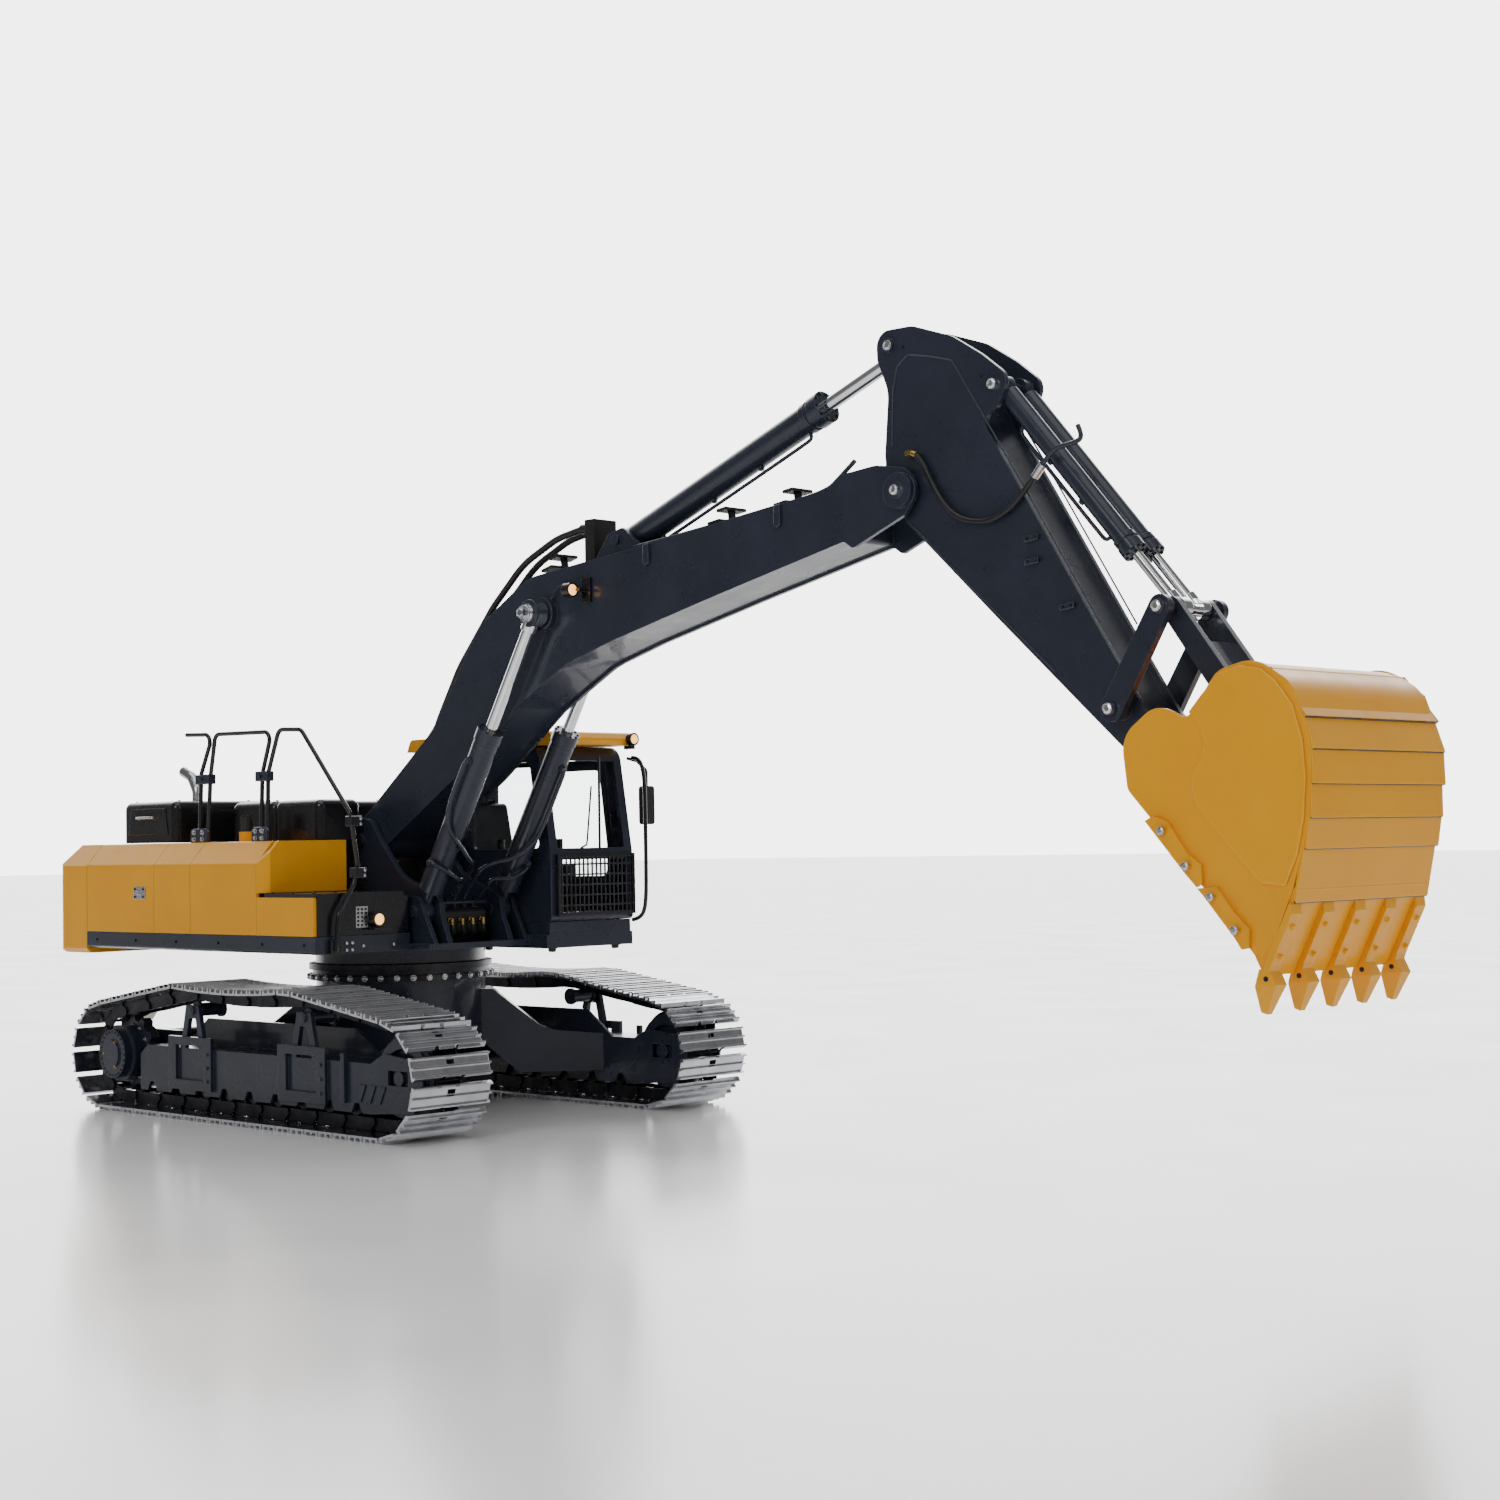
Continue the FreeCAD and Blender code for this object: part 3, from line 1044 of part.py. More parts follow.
# pressure lines: two hoses from the boom's heel to the arm cylinder, and clamps along the top plate
HOSE = 2.0
hose_routes = [[(34, y, 212.5), (48, y, 238), (68, y, 268), (100, y, 302), (128, y, 325), (158, y, 337),
                (180, y, 340.3)] for y in (-5.0, 5.0)]
hoses = [tube(route, HOSE, 60) for route in hose_routes]
fittings = [exact_round(route[-1], Vector(*route[-1]) + Vector(8, 0, -0.5), 2.8) for route in hose_routes]
manifold = Part.makeBox(8, 17, 30, Vector(186, -8.5, 314.8)).fuse(fittings)
clamps = []
for x, z, slope in ((72, 252, 52), (160, 318.2, 14), (296, 330.6, 7), (345, 335.2, 7)):
    plate = Part.makeBox(9, 30, 1.6, Vector(-4.5, -15, 0))
    post = Part.makeBox(3, 3, 6, Vector(-1.5, -1.5, 1.6))
    top = Part.makeBox(7, 16, 1.6, Vector(-3.5, -8, 7.6))
    clamp = plate.fuse([post, top])
    clamp.Placement = FreeCAD.Placement(Vector(x, 0, z), FreeCAD.Rotation(Vector(0, 1, 0), -slope))
    clamps.append(feature(clamp))
node("boom_lines", group(*hoses, feature(manifold), *clamps))

# ---------------------------------------------------------------- arm and bucket linkage

ARM = [(414, 400, 8), (413.5, 414.5, 8), (437, 414.0, 15), (462, 405, 25), (480, 393.5, 15), (497, 380, 8),
       (489, 366, 5), (479, 362.5, 6), (501.3, 326.6), (542.7, 259.7), (570, 216.5, 8), (598.7, 189.5, 8.8),
       (585.5, 176.6, 8.8), (555.6, 201.9), (532.5, 223), (486.2, 265.4), (431.4, 316.5, 12), (419.5, 333, 10),
       (418, 352, 12), (421, 383.5, 20)]
ARM_BOX = [(427, 380, 3), (461, 391, 3), (499.5, 324.6), (541, 257.5), (567.5, 214, 3), (574, 203, 2),
           (563, 197.5, 2), (556.5, 203.5), (533.5, 225), (487.2, 267.4), (449, 303.5, 3), (441, 350, 5)]


def arm():
    half, wall = dim("arm_half"), dim("plate_wall")
    pin, fit = dim("pin_radius"), dim("pin_fit")
    beam = box_beam(ARM, ARM_BOX, half, wall, 2.2)
    hub = y_disc(*pivot("arm_pivot"), 9.5, -half, half)
    tip = y_disc(*pivot("bucket_pin"), 8.6, -half, half)
    lever_hub = y_disc(*pivot("lever_foot"), 5.0, -half - 4.7, half + 4.7)
    lever_pin = y_disc(*pivot("lever_foot"), 3.0, -half - 10.5, half + 10.5)
    stubs = [y_disc(*pivot("stick_eye"), 3.6, s * (half - 0.4) - 2.1, s * (half - 0.4) + 2.1) for s in (-1, 1)]
    curl_pin = y_disc(*pivot("curl_foot"), 2.5, -half - 1.5, half + 1.5)
    bx, bz = pivot("bucket_pin")
    bucket_pin = y_disc(bx, bz, pin - 0.01, -half - 6.2, half + 6.2)
    body = beam.fuse([hub, tip, lever_hub, lever_pin] + stubs + [curl_pin, bucket_pin])
    return body.cut(y_disc(*pivot("arm_pivot"), pin + fit, -half - 1, half + 1)).removeSplitter()


node("arm", feature(arm()))

curl_foot, lever_top = pivot("curl_foot"), pivot("lever_top")
curl_barrels, curl_rods = [], []
for s in (-1, 1):
    y = s * dim("curl_y")
    shell = barrel(curl_foot, lever_top, y, dim("curl_barrel"), CURL_START, CURL_END, 6.0, 5.0, 5.2, 3.2, 2.55)
    curl_barrels.append(shell.cut(rod_way(curl_foot, lever_top, y, 2.6, CURL_START, CURL_END)))
    curl_rods.append(rod(curl_foot, lever_top, y, 2.6, 56.0, 5.2, 3.2, 3.1))
curl_middle = y_disc(*lever_top, 3.2, -10.8, 10.8)
node("bucket_cylinder_barrels", feature(Part.makeCompound(curl_barrels)))
node("bucket_cylinder_rods", feature(curl_rods[0].fuse([curl_rods[1], curl_middle])))


def slim_bar(start, end, wide, narrow, y0, y1):
    """Tapered bar with round ends between two pivots."""
    line = Vector(end[0] - start[0], 0, end[1] - start[1])
    along = Vector(line.x, line.z, 0).normalize()
    normal = Vector(-along.y, along.x, 0)
    a, b = Vector(start[0], start[1], 0), Vector(end[0], end[1], 0)
    corners = [a + normal * wide, b + normal * narrow, b - normal * narrow, a - normal * wide]
    wire = Part.makePolygon(corners + corners[:1])
    solid = Part.Face(wire).extrude(Vector(0, 0, y1 - y0))
    solid.Placement = FreeCAD.Placement(Vector(0, y1, 0), FreeCAD.Rotation(Vector(1, 0, 0), 90))
    return solid.fuse([y_disc(*start, wide, y0, y1), y_disc(*end, narrow, y0, y1)])


def lever(s):
    inner, outer = dim("arm_half") + 5.2, dim("arm_half") + 9.2
    y0, y1 = across(s, inner, outer)
    bar = slim_bar(pivot("lever_foot"), lever_top, 6.0, 5.5, y0, y1)
    stub = y_disc(*lever_top, 3.2, *across(s, 11.2, outer + 0.8))
    bore = y_disc(*pivot("lever_foot"), 3.05, y0 - 1, y1 + 1)
    return bar.fuse(stub).cut(bore)


node("bucket_levers", feature(Part.makeCompound([lever(-1), lever(1)])))


def bucket_link():
    """H-shaped link: two bars on the lever pins, joined by a web and the bucket boss."""
    low = pivot("link_pin")
    bars = [slim_bar(lever_top, low, 5.0, 5.6, *across(s, 11.5, 15.3)) for s in (-1, 1)]
    boss = y_disc(*low, 5.6, -15.3, 15.3)
    line = Vector(low[0] - lever_top[0], 0, low[1] - lever_top[1])
    web_at = Vector(lever_top[0], 0, lever_top[1]) + line * 0.52
    web = Part.makeBox(2.4, 24, 15, Vector(-1.2, -12, -7.5))
    slope = math.degrees(math.atan2(line.x, line.z))
    web.Placement = FreeCAD.Placement(web_at, FreeCAD.Rotation(Vector(0, 1, 0), slope))
    body = bars[0].fuse([bars[1], boss, web])
    return body.cut(y_disc(*lever_top, 3.25, -16, 16))


node("bucket_link", feature(bucket_link()))

BUCKET_SIDE = [(584.3, 203, 14), (587, 179.8, 6), (602, 163.5), (648.6, 109.5), (653.5, 103), (667.5, 136),
               (676, 163, 60), (678.4, 196, 30), (670, 222, 16), (652, 233.5, 18), (634, 229, 12), (618.5, 209, 5),
               (603, 216.5, 12)]
BUCKET_SHELL = [(597.5, 170), (606, 187, 4), (625, 208, 6), (634, 226, 12), (652, 233.5, 18), (670, 222, 16),
                (678.4, 196, 30), (676, 163, 60), (667.5, 136), (664.8, 136.8), (673.3, 164, 57), (675.4, 195.5, 28),
                (668, 219.5, 14), (651.5, 230.6, 15), (636.4, 224.5, 10), (627.3, 206.4, 5), (608.3, 185.4, 3),
                (600, 169)]
BUCKET_EAR = [(574.5, 197, 8), (577, 204, 6), (590, 203, 5), (605, 222, 6), (609, 229, 6), (621, 229.5, 6),
              (628, 217, 3), (633, 217, 1), (622, 203), (604, 184), (599, 174, 2), (584, 178.5, 8), (575, 186, 8)]


LIP = [(647.6, 110.5), (652.5, 100.5), (670, 136.5), (664, 139)]
ADAPTER = [(651.2, 97.8), (655.0, 96.0), (657.5, 104.8), (667.9, 126.3), (667.6, 130.8), (666.6, 130.4),
           (652.4, 100.6)]
TOOTH = [(656.5, 103.5), (651.8, 103.5), (649.5, 96), (651.0, 85.5), (653.6, 84.6), (659.8, 97)]


def bucket():
    half, plate = dim("bucket_half"), dim("bucket_plate")
    ear_gap = dim("arm_half") + 0.9
    sides = [slab(BUCKET_SIDE, 0, *across(s, half - plate, half)) for s in (-1, 1)]
    shell = slab(BUCKET_SHELL, 0, plate - half, half - plate)
    lip = slab(LIP, 0, -half + 1, half - 1)
    ears = [slab(BUCKET_EAR, 0, *across(s, ear_gap, ear_gap + 3.4)) for s in (-1, 1)]
    low = pivot("link_pin")
    stubs = [y_disc(*low, 3.2, *across(s, ear_gap - 0.1, ear_gap + 4.6)) for s in (-1, 1)]
    body = sides[0].fuse([sides[1], shell, lip] + ears + stubs)
    bore = y_disc(*pivot("bucket_pin"), dim("pin_radius") + 0.04, -half, half)
    return body.cut(bore.common(Part.makeBox(400, 60, 400, Vector(400, -30, 0)))).removeSplitter()


node("bucket", feature(bucket()))


def tooth(y):
    """Tooth pointing down from the lip, tapered to its tip, with its flat adapter on the outside."""
    half, tip_half = 4.2, 1.9
    tip_z, knee_z, root_z = 84.0, 97.0, 104.0
    behind, depth = 640, 40
    taper = [(y - half, root_z), (y - half, knee_z), (y - tip_half, tip_z), (y + tip_half, tip_z),
             (y + half, knee_z), (y + half, root_z)]
    wire = Part.makePolygon([Vector(behind, a, b) for a, b in taper + taper[:1]])
    wedge = Part.Face(wire).extrude(Vector(depth, 0, 0))
    return slab(TOOTH, 0, y - half, y + half).common(wedge).fuse(slab(ADAPTER, 0, y - half, y + half))


def row_of_teeth():
    lip = slab(LIP, 0, -dim("bucket_half") - 1, dim("bucket_half") + 1)
    return [tooth((k - 2) * dim("tooth_pitch")).cut(lip) for k in range(5)]


def side_cutter(s):
    """Two bolted wear plates on the mouth edge of one side plate."""
    half = dim("bucket_half")
    upper = [(601.0, 168), (597.0, 166), (603.5, 158.6), (617, 143.2), (622.5, 137.5), (625.5, 139.5), (625, 147),
             (618.5, 151.5), (608.5, 165.5)]
    lower = [(622.8, 137.0), (625.5, 134.2), (640.5, 116.5), (644, 111.5), (647.5, 112), (647.8, 120), (641, 126.5),
             (632.5, 137.5)]
    plates = [slab(line, 0, *across(s, half, half + 2.2)) for line in (upper, lower)]
    bolts = []
    for x, z in ((606.5, 161.6), (618.5, 146.5), (630.5, 133.4), (642.0, 119.5)):
        bolts.append(y_disc(x, z, 1.9, *across(s, half + 2.2, half + 3.4)))
    return [plates[0].fuse(bolts[:2]), plates[1].fuse(bolts[2:])]


cutters = side_cutter(-1) + side_cutter(1)
node("bucket_teeth", feature(Part.makeCompound(row_of_teeth() + cutters)))

# ---------------------------------------------------------------- checks and files

doc.recompute()
for obj in doc.Objects:
    if "Invalid" in obj.State or "Error" in obj.State:
        raise RuntimeError(f"{obj.Label} failed: {obj.State}")
for name, obj in nodes.items():
    shape = obj.Shape
    if shape.isNull() or not shape.isValid() or not shape.Solids:
        raise RuntimeError(f"{name} has no valid shape")
    shape.exportStep(f"parts/{name}.step")
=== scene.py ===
import json
import math

import bmesh
import bpy
from mathutils import Matrix, Vector
from mathutils.bvhtree import BVHTree


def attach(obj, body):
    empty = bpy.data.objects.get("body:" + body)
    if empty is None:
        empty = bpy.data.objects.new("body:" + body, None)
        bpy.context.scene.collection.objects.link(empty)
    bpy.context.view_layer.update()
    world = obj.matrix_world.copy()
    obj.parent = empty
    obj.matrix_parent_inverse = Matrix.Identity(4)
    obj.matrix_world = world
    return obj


# Radio-controlled hydraulic excavator: materials, small fittings, studio and camera.
# Places are written in millimetres in the row frame and turned into metres by mm().

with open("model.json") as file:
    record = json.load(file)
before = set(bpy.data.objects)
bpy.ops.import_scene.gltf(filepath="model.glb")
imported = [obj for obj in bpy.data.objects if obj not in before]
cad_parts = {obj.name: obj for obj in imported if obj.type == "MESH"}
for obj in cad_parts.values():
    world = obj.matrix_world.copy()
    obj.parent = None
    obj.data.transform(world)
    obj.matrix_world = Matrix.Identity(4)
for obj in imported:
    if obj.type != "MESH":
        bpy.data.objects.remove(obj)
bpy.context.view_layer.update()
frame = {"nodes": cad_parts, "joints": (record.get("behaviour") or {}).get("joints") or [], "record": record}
nodes = frame["nodes"]


def mm(*values):
    """Point in metres from millimetres."""
    return Vector(values) * 0.001


# ---------------------------------------------------------------- materials

# nearly all values of a noise texture lie between these two
NOISE_LOW, NOISE_HIGH = 0.3, 0.7


class Surface:
    """A node material under construction, with short helpers for its usual parts."""

    def __init__(self, name):
        self.material = bpy.data.materials.new(name + "_finish")
        self.material.use_nodes = True
        self.tree = self.material.node_tree
        self.shader = self.tree.nodes["Principled BSDF"]
        self.place = self.add("ShaderNodeTexCoord").outputs["Object"]

    def add(self, kind, **settings):
        made = self.tree.nodes.new(kind)
        for key, value in settings.items():
            setattr(made, key, value)
        return made

    def link(self, start, end):
        self.tree.links.new(start, end)

    def fix(self, name, value):
        """Give an input of the shader one value."""
        self.shader.inputs[name].default_value = value

    def feed(self, name, output):
        """Drive an input of the shader from another node."""
        self.link(output, self.shader.inputs[name])

    def stretched(self, scale):
        mapping = self.add("ShaderNodeMapping")
        mapping.inputs["Scale"].default_value = scale
        self.link(self.place, mapping.inputs["Vector"])
        return mapping.outputs["Vector"]

    def noise(self, scale, detail=3.0, vector=None):
        made = self.add("ShaderNodeTexNoise")
        made.inputs["Scale"].default_value = scale
        made.inputs["Detail"].default_value = detail
        self.link(vector or self.place, made.inputs["Vector"])
        return made.outputs["Fac"]

    def ramp(self, factor, stops):
        made = self.add("ShaderNodeValToRGB")
        elements = made.color_ramp.elements
        for element, (position, colour) in zip(elements, stops):
            element.position = position
            element.color = (*colour, 1.0)
        self.link(factor, made.inputs["Fac"])
        return made.outputs["Color"]

    def patches(self, scale, detail, dark, light):
        """Soft patches of two shades."""
        return self.ramp(self.noise(scale, detail), [(NOISE_LOW, dark), (NOISE_HIGH, light)])

    def spread(self, factor, low, high):
        """Noise stretched to a range of values."""
        made = self.add("ShaderNodeMapRange")
        made.inputs["From Min"].default_value = NOISE_LOW
        made.inputs["From Max"].default_value = NOISE_HIGH
        made.inputs["To Min"].default_value = low
        made.inputs["To Max"].default_value = high
        self.link(factor, made.inputs["Value"])
        return made.outputs["Result"]

    def mix(self, factor, first, second):
        made = self.add("ShaderNodeMix", data_type="RGBA")
        self.link(factor, made.inputs["Factor"])
        self.link(first, made.inputs["A"])
        made.inputs["B"].default_value = (*second, 1.0)
        return made.outputs["Result"]

    def edges(self, radius, low=0.004, high=0.05):
        """Mask that is bright along the edges, from how far a rounded normal leaves the true one."""
        rounded = self.add("ShaderNodeBevel", samples=4)
        rounded.inputs["Radius"].default_value = radius
        true = self.add("ShaderNodeNewGeometry")
        dot = self.add("ShaderNodeVectorMath", operation="DOT_PRODUCT")
        self.link(rounded.outputs["Normal"], dot.inputs[0])
        self.link(true.outputs["Normal"], dot.inputs[1])
        drop = self.add("ShaderNodeMath", operation="SUBTRACT")
        drop.inputs[0].default_value = 1.0
        self.link(dot.outputs["Value"], drop.inputs[1])
        made = self.add("ShaderNodeMapRange")
        made.inputs["From Min"].default_value = low
        made.inputs["From Max"].default_value = high
        self.link(drop.outputs[0], made.inputs["Value"])
        return made.outputs["Result"]

    def relief(self, height, strength, distance, round_edges):
        """Bump over softly rounded edges."""
        rounded = self.add("ShaderNodeBevel", samples=4)
        rounded.inputs["Radius"].default_value = round_edges
        bump = self.add("ShaderNodeBump")
        bump.inputs["Strength"].default_value = strength
        bump.inputs["Distance"].default_value = distance
        self.link(height, bump.inputs["Height"])
        self.link(rounded.outputs["Normal"], bump.inputs["Normal"])
        self.feed("Normal", bump.outputs["Normal"])


def gloss_paint(name, dark, light, edge_colour, roughness, coat):
    """Sprayed enamel: slow shade changes, orange peel under a clear coat, a lighter colour along the edges.
    """
    made = Surface(name)
    shade = made.patches(22.0, 4.0, dark, light)
    made.feed("Base Color", made.mix(made.edges(0.0005), shade, edge_colour))
    made.feed("Roughness", made.spread(made.noise(60.0, 5.0), roughness - 0.05, roughness + 0.07))
    made.relief(made.noise(1400.0, 1.0), 0.05, 0.0002, 0.0005)
    made.fix("Specular IOR Level", 0.35)
    made.fix("Coat Weight", coat)
    made.fix("Coat Roughness", 0.06)
    return made.material


def bare_metal(name, dark, light, roughness, grain=(1.0, 1.0, 1.0)):
    """Plated or machined metal with fine directional scratches and slight staining."""
    made = Surface(name)
    made.feed("Base Color", made.patches(90.0, 5.0, dark, light))
    scratches = made.noise(900.0, 3.0, made.stretched(grain))
    made.feed("Roughness", made.spread(scratches, roughness * 0.7, roughness * 1.5))
    made.relief(scratches, 0.06, 0.0001, 0.0003)
    made.fix("Metallic", 1.0)
    return made.material


def moulded(name, dark, light, roughness, grain_scale=2600.0, strength=0.15):
    """Rubber or moulded plastic with a fine leathery grain."""
    made = Surface(name)
    made.feed("Base Color", made.patches(50.0, 4.0, dark, light))
    made.feed("Roughness", made.spread(made.noise(300.0), roughness - 0.06, roughness + 0.08))
    made.relief(made.noise(grain_scale, 2.0), strength, 0.00015, 0.0004)
    return made.material


def clear_pane(name, tint):
    """Clear pane with a faint wipe haze."""
    made = Surface(name)
    haze = made.noise(30.0, 3.0, made.stretched((1.0, 1.0, 0.3)))
    made.feed("Roughness", made.spread(haze, 0.01, 0.05))
    made.fix("Base Color", (*tint, 1.0))
    made.fix("Transmission Weight", 1.0)
    made.fix("IOR", 1.1)
    return made.material


def lit_lens(name, colour, strength):
    """Ribbed lamp lens, glowing."""
    made = Surface(name)
    ribs = made.add("ShaderNodeTexWave", wave_type="RINGS", rings_direction="X")
    ribs.inputs["Scale"].default_value = 400.0
    made.link(made.place, ribs.inputs["Vector"])
    made.feed("Emission Color", made.ramp(ribs.outputs["Fac"], [(0.0, colour), (1.0, (1.0, 0.72, 0.30))]))
    made.relief(ribs.outputs["Fac"], 0.3, 0.0002, 0.0003)
    made.fix("Emission Strength", strength)
    made.fix("Base Color", (*colour, 1.0))
    return made.material


# paints: dark and light shade, then the lighter colour along edges; the others: dark and light shade
yellow = gloss_paint("yellow_paint", (0.92, 0.385, 0.0), (0.96, 0.425, 0.0), (0.98, 0.60, 0.03),
                     roughness=0.34, coat=0.12)
navy = gloss_paint("navy_paint", (0.019, 0.024, 0.039), (0.026, 0.032, 0.052), (0.07, 0.085, 0.12),
                   roughness=0.30, coat=0.3)
black = gloss_paint("black_paint", (0.004, 0.0045, 0.007), (0.008, 0.0085, 0.011), (0.04, 0.04, 0.05),
                    roughness=0.28, coat=0.5)
chrome = bare_metal("chrome", (0.62, 0.63, 0.66), (0.80, 0.81, 0.84), 0.15, grain=(1.0, 0.08, 1.0))
rod_chrome = bare_metal("rod_chrome", (0.80, 0.81, 0.83), (0.90, 0.91, 0.92), 0.07)
steel = bare_metal("bright_steel", (0.50, 0.50, 0.52), (0.66, 0.66, 0.68), 0.22)
dark_steel = bare_metal("dark_steel", (0.030, 0.031, 0.036), (0.060, 0.060, 0.066), 0.36)
brass = bare_metal("brass", (0.40, 0.26, 0.08), (0.58, 0.40, 0.15), 0.26)
alloy = bare_metal("aluminium", (0.52, 0.53, 0.55), (0.64, 0.65, 0.67), 0.30)
rubber = moulded("hose_rubber", (0.006, 0.006, 0.007), (0.012, 0.012, 0.013), 0.42)
plastic = moulded("black_plastic", (0.008, 0.008, 0.010), (0.018, 0.018, 0.020), 0.50,
                  grain_scale=3200.0, strength=0.25)
wrap = moulded("battery_wrap", (0.02, 0.05, 0.16), (0.03, 0.07, 0.22), 0.28,
               grain_scale=900.0, strength=0.10)
glass = clear_pane("glass", tint=(0.93, 0.96, 0.97))
lens = lit_lens("lamp", colour=(1.0, 0.36, 0.03), strength=2.6)

BY_SLOT = {"yellow_paint": yellow, "navy_paint": navy, "black_paint": black, "chrome": chrome,
           "bright_steel": steel, "dark_steel": dark_steel, "glass": glass, "lamp": lens,
           "hose_rubber": rubber, "black_plastic": plastic, "battery_wrap": wrap, "aluminium": alloy}
slot_of = {entry["node"]: entry["material_slot"] for entry in frame["record"]["subparts"]}
for name, obj in nodes.items():
    is_rod = name.endswith(("_rod", "_rods"))
    obj.data.materials.clear()
    obj.data.materials.append(rod_chrome if is_rod else BY_SLOT[slot_of[name]])


# ---------------------------------------------------------------- tools for fittings

SLOT_OF_FINISH = {finish: slot for slot, finish in BY_SLOT.items()}
SLOT_OF_FINISH[rod_chrome] = "chrome"
SLOT_OF_FINISH[brass] = "bright_steel"


def finish_piece(obj, material, body):
    """Give a new piece its material and body."""
    obj.data.materials.append(material)
    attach(obj, body)
    return obj


def new_mesh(name, build, material, body, bevel=0.0, smooth=False):
    """Object from a bmesh recipe, with an optional rounded edge."""
    mesh = bpy.data.meshes.new(name)
    work = bmesh.new()
    build(work)
    bmesh.ops.recalc_face_normals(work, faces=work.faces)
    work.to_mesh(mesh)
    work.free()
    obj = bpy.data.objects.new(name, mesh)
    bpy.context.scene.collection.objects.link(obj)
    if smooth:
        mesh.shade_smooth()
    if bevel:
        rounding = obj.modifiers.new("edges", "BEVEL")
        rounding.width = bevel * 0.001
        rounding.segments = 2
        rounding.limit_method = "ANGLE"
    return finish_piece(obj, material, body)


def turned(direction):
    """Rotation that brings +Z onto a direction."""
    return Vector(direction).to_track_quat("Z", "Y").to_matrix().to_4x4()


def disc(work, centre, direction, radius, low, high, sides=24, top=None):
    """Closed disc or cone along a direction, from low to high above its centre, in mm."""
    halfway = Matrix.Translation(mm(0, 0, (low + high) / 2))
    middle = Matrix.Translation(mm(*centre)) @ turned(direction) @ halfway
    bmesh.ops.create_cone(work, cap_ends=True, segments=sides, radius1=radius * 0.001,
                          radius2=(radius if top is None else top) * 0.001,
                          depth=(high - low) * 0.001, matrix=middle)


def hex_bolt(work, centre, direction, size):
    """Hexagon head over a washer, with a turned chamfer."""
    disc(work, centre, direction, size * 1.25, 0.0, size * 0.25, 20)
    disc(work, centre, direction, size, size * 0.25, size * 0.9, 6)
    disc(work, centre, direction, size * 0.8, size * 0.9, size * 1.05, 6, size * 0.62)


def cap_screw(work, centre, direction, size):
    """Round head with a hexagon socket."""
    disc(work, centre, direction, size, 0.0, size * 0.7, 20, size * 0.9)
    rim = Matrix.Translation(mm(*centre)) @ turned(direction) @ Matrix.Translation(mm(0, 0, size * 0.7))
    outer, inner = [], []
    for i in range(6):
        angle = math.pi * i / 3
        ring = Vector((math.cos(angle), math.sin(angle), 0)) * size * 0.001
        outer.append(work.verts.new(rim @ (ring * 0.85)))
        inner.append(work.verts.new(rim @ (ring * 0.5 + mm(0, 0, size * 0.12))))
    for i in range(6):
        j = (i + 1) % 6
        work.faces.new((outer[i], outer[j], inner[j], inner[i]))
    work.faces.new(inner)
    work.faces.new(list(reversed(outer)))


def bolts(name, head, places, size, material, body):
    """One object with the same head at several places; each place is (centre, direction)."""
    def build(work):
        for centre, direction in places:
            head(work, centre, direction, size)
    return new_mesh(name, build, material, body)


def plate(name, outline, y0, y1, material, body, bevel=0.3):
    """Flat plate across the machine: an outline in the X-Z plane, extruded from y0 to y1, in mm."""
    def build(work):
        face = work.faces.new([work.verts.new(mm(x, y0, z)) for x, z in outline])
        grown = bmesh.ops.extrude_face_region(work, geom=[face])
        moved = [v for v in grown["geom"] if isinstance(v, bmesh.types.BMVert)]
        bmesh.ops.translate(work, verts=moved, vec=mm(0, y1 - y0, 0))
    return new_mesh(name, build, material, body, bevel)


def pipe(name, points, radius, material, body, order=3):
    """Round line through space along a smooth curve, in mm."""
    curve = bpy.data.curves.new(name, "CURVE")
    curve.dimensions = "3D"
    curve.bevel_depth = radius * 0.001
    curve.bevel_resolution = 5
    curve.use_fill_caps = True
    spline = curve.splines.new("NURBS")
    spline.points.add(len(points) - 1)
    for point, where in zip(spline.points, points):
        point.co = (*mm(*where), 1.0)
    spline.order_u = order
    spline.use_endpoint_u = True
    spline.resolution_u = 8
    obj = bpy.data.objects.new(name, curve)
    bpy.context.scene.collection.objects.link(obj)
    return finish_piece(obj, material, body)


LEFT, RIGHT = (0, 1, 0), (0, -1, 0)
FRONT, UP, DOWN = (1, 0, 0), (0, 0, 1), (0, 0, -1)
# each side with its sign along Y; (0, s, 0) points outwards on that side
SIDES = (("right", -1), ("left", 1))

# ---------------------------------------------------------------- bucket

BUCKET_HALF = 54.45
bucket_skin = BVHTree.FromObject(nodes["bucket"], bpy.context.evaluated_depsgraph_get())
SHELL_CENTRE = (635.0, 182.0)


def on_shell(degrees, off):
    """Point (x, z) at a height off over the outside of the bucket, seen from the middle of its shell."""
    way = Vector((math.cos(math.radians(degrees)), 0, math.sin(math.radians(degrees))))
    start = mm(SHELL_CENTRE[0], 0, SHELL_CENTRE[1]) + way * 0.2
    hit = bucket_skin.ray_cast(start, -way)[0]
    place = hit * 1000 + way * off
    return place.x, place.z


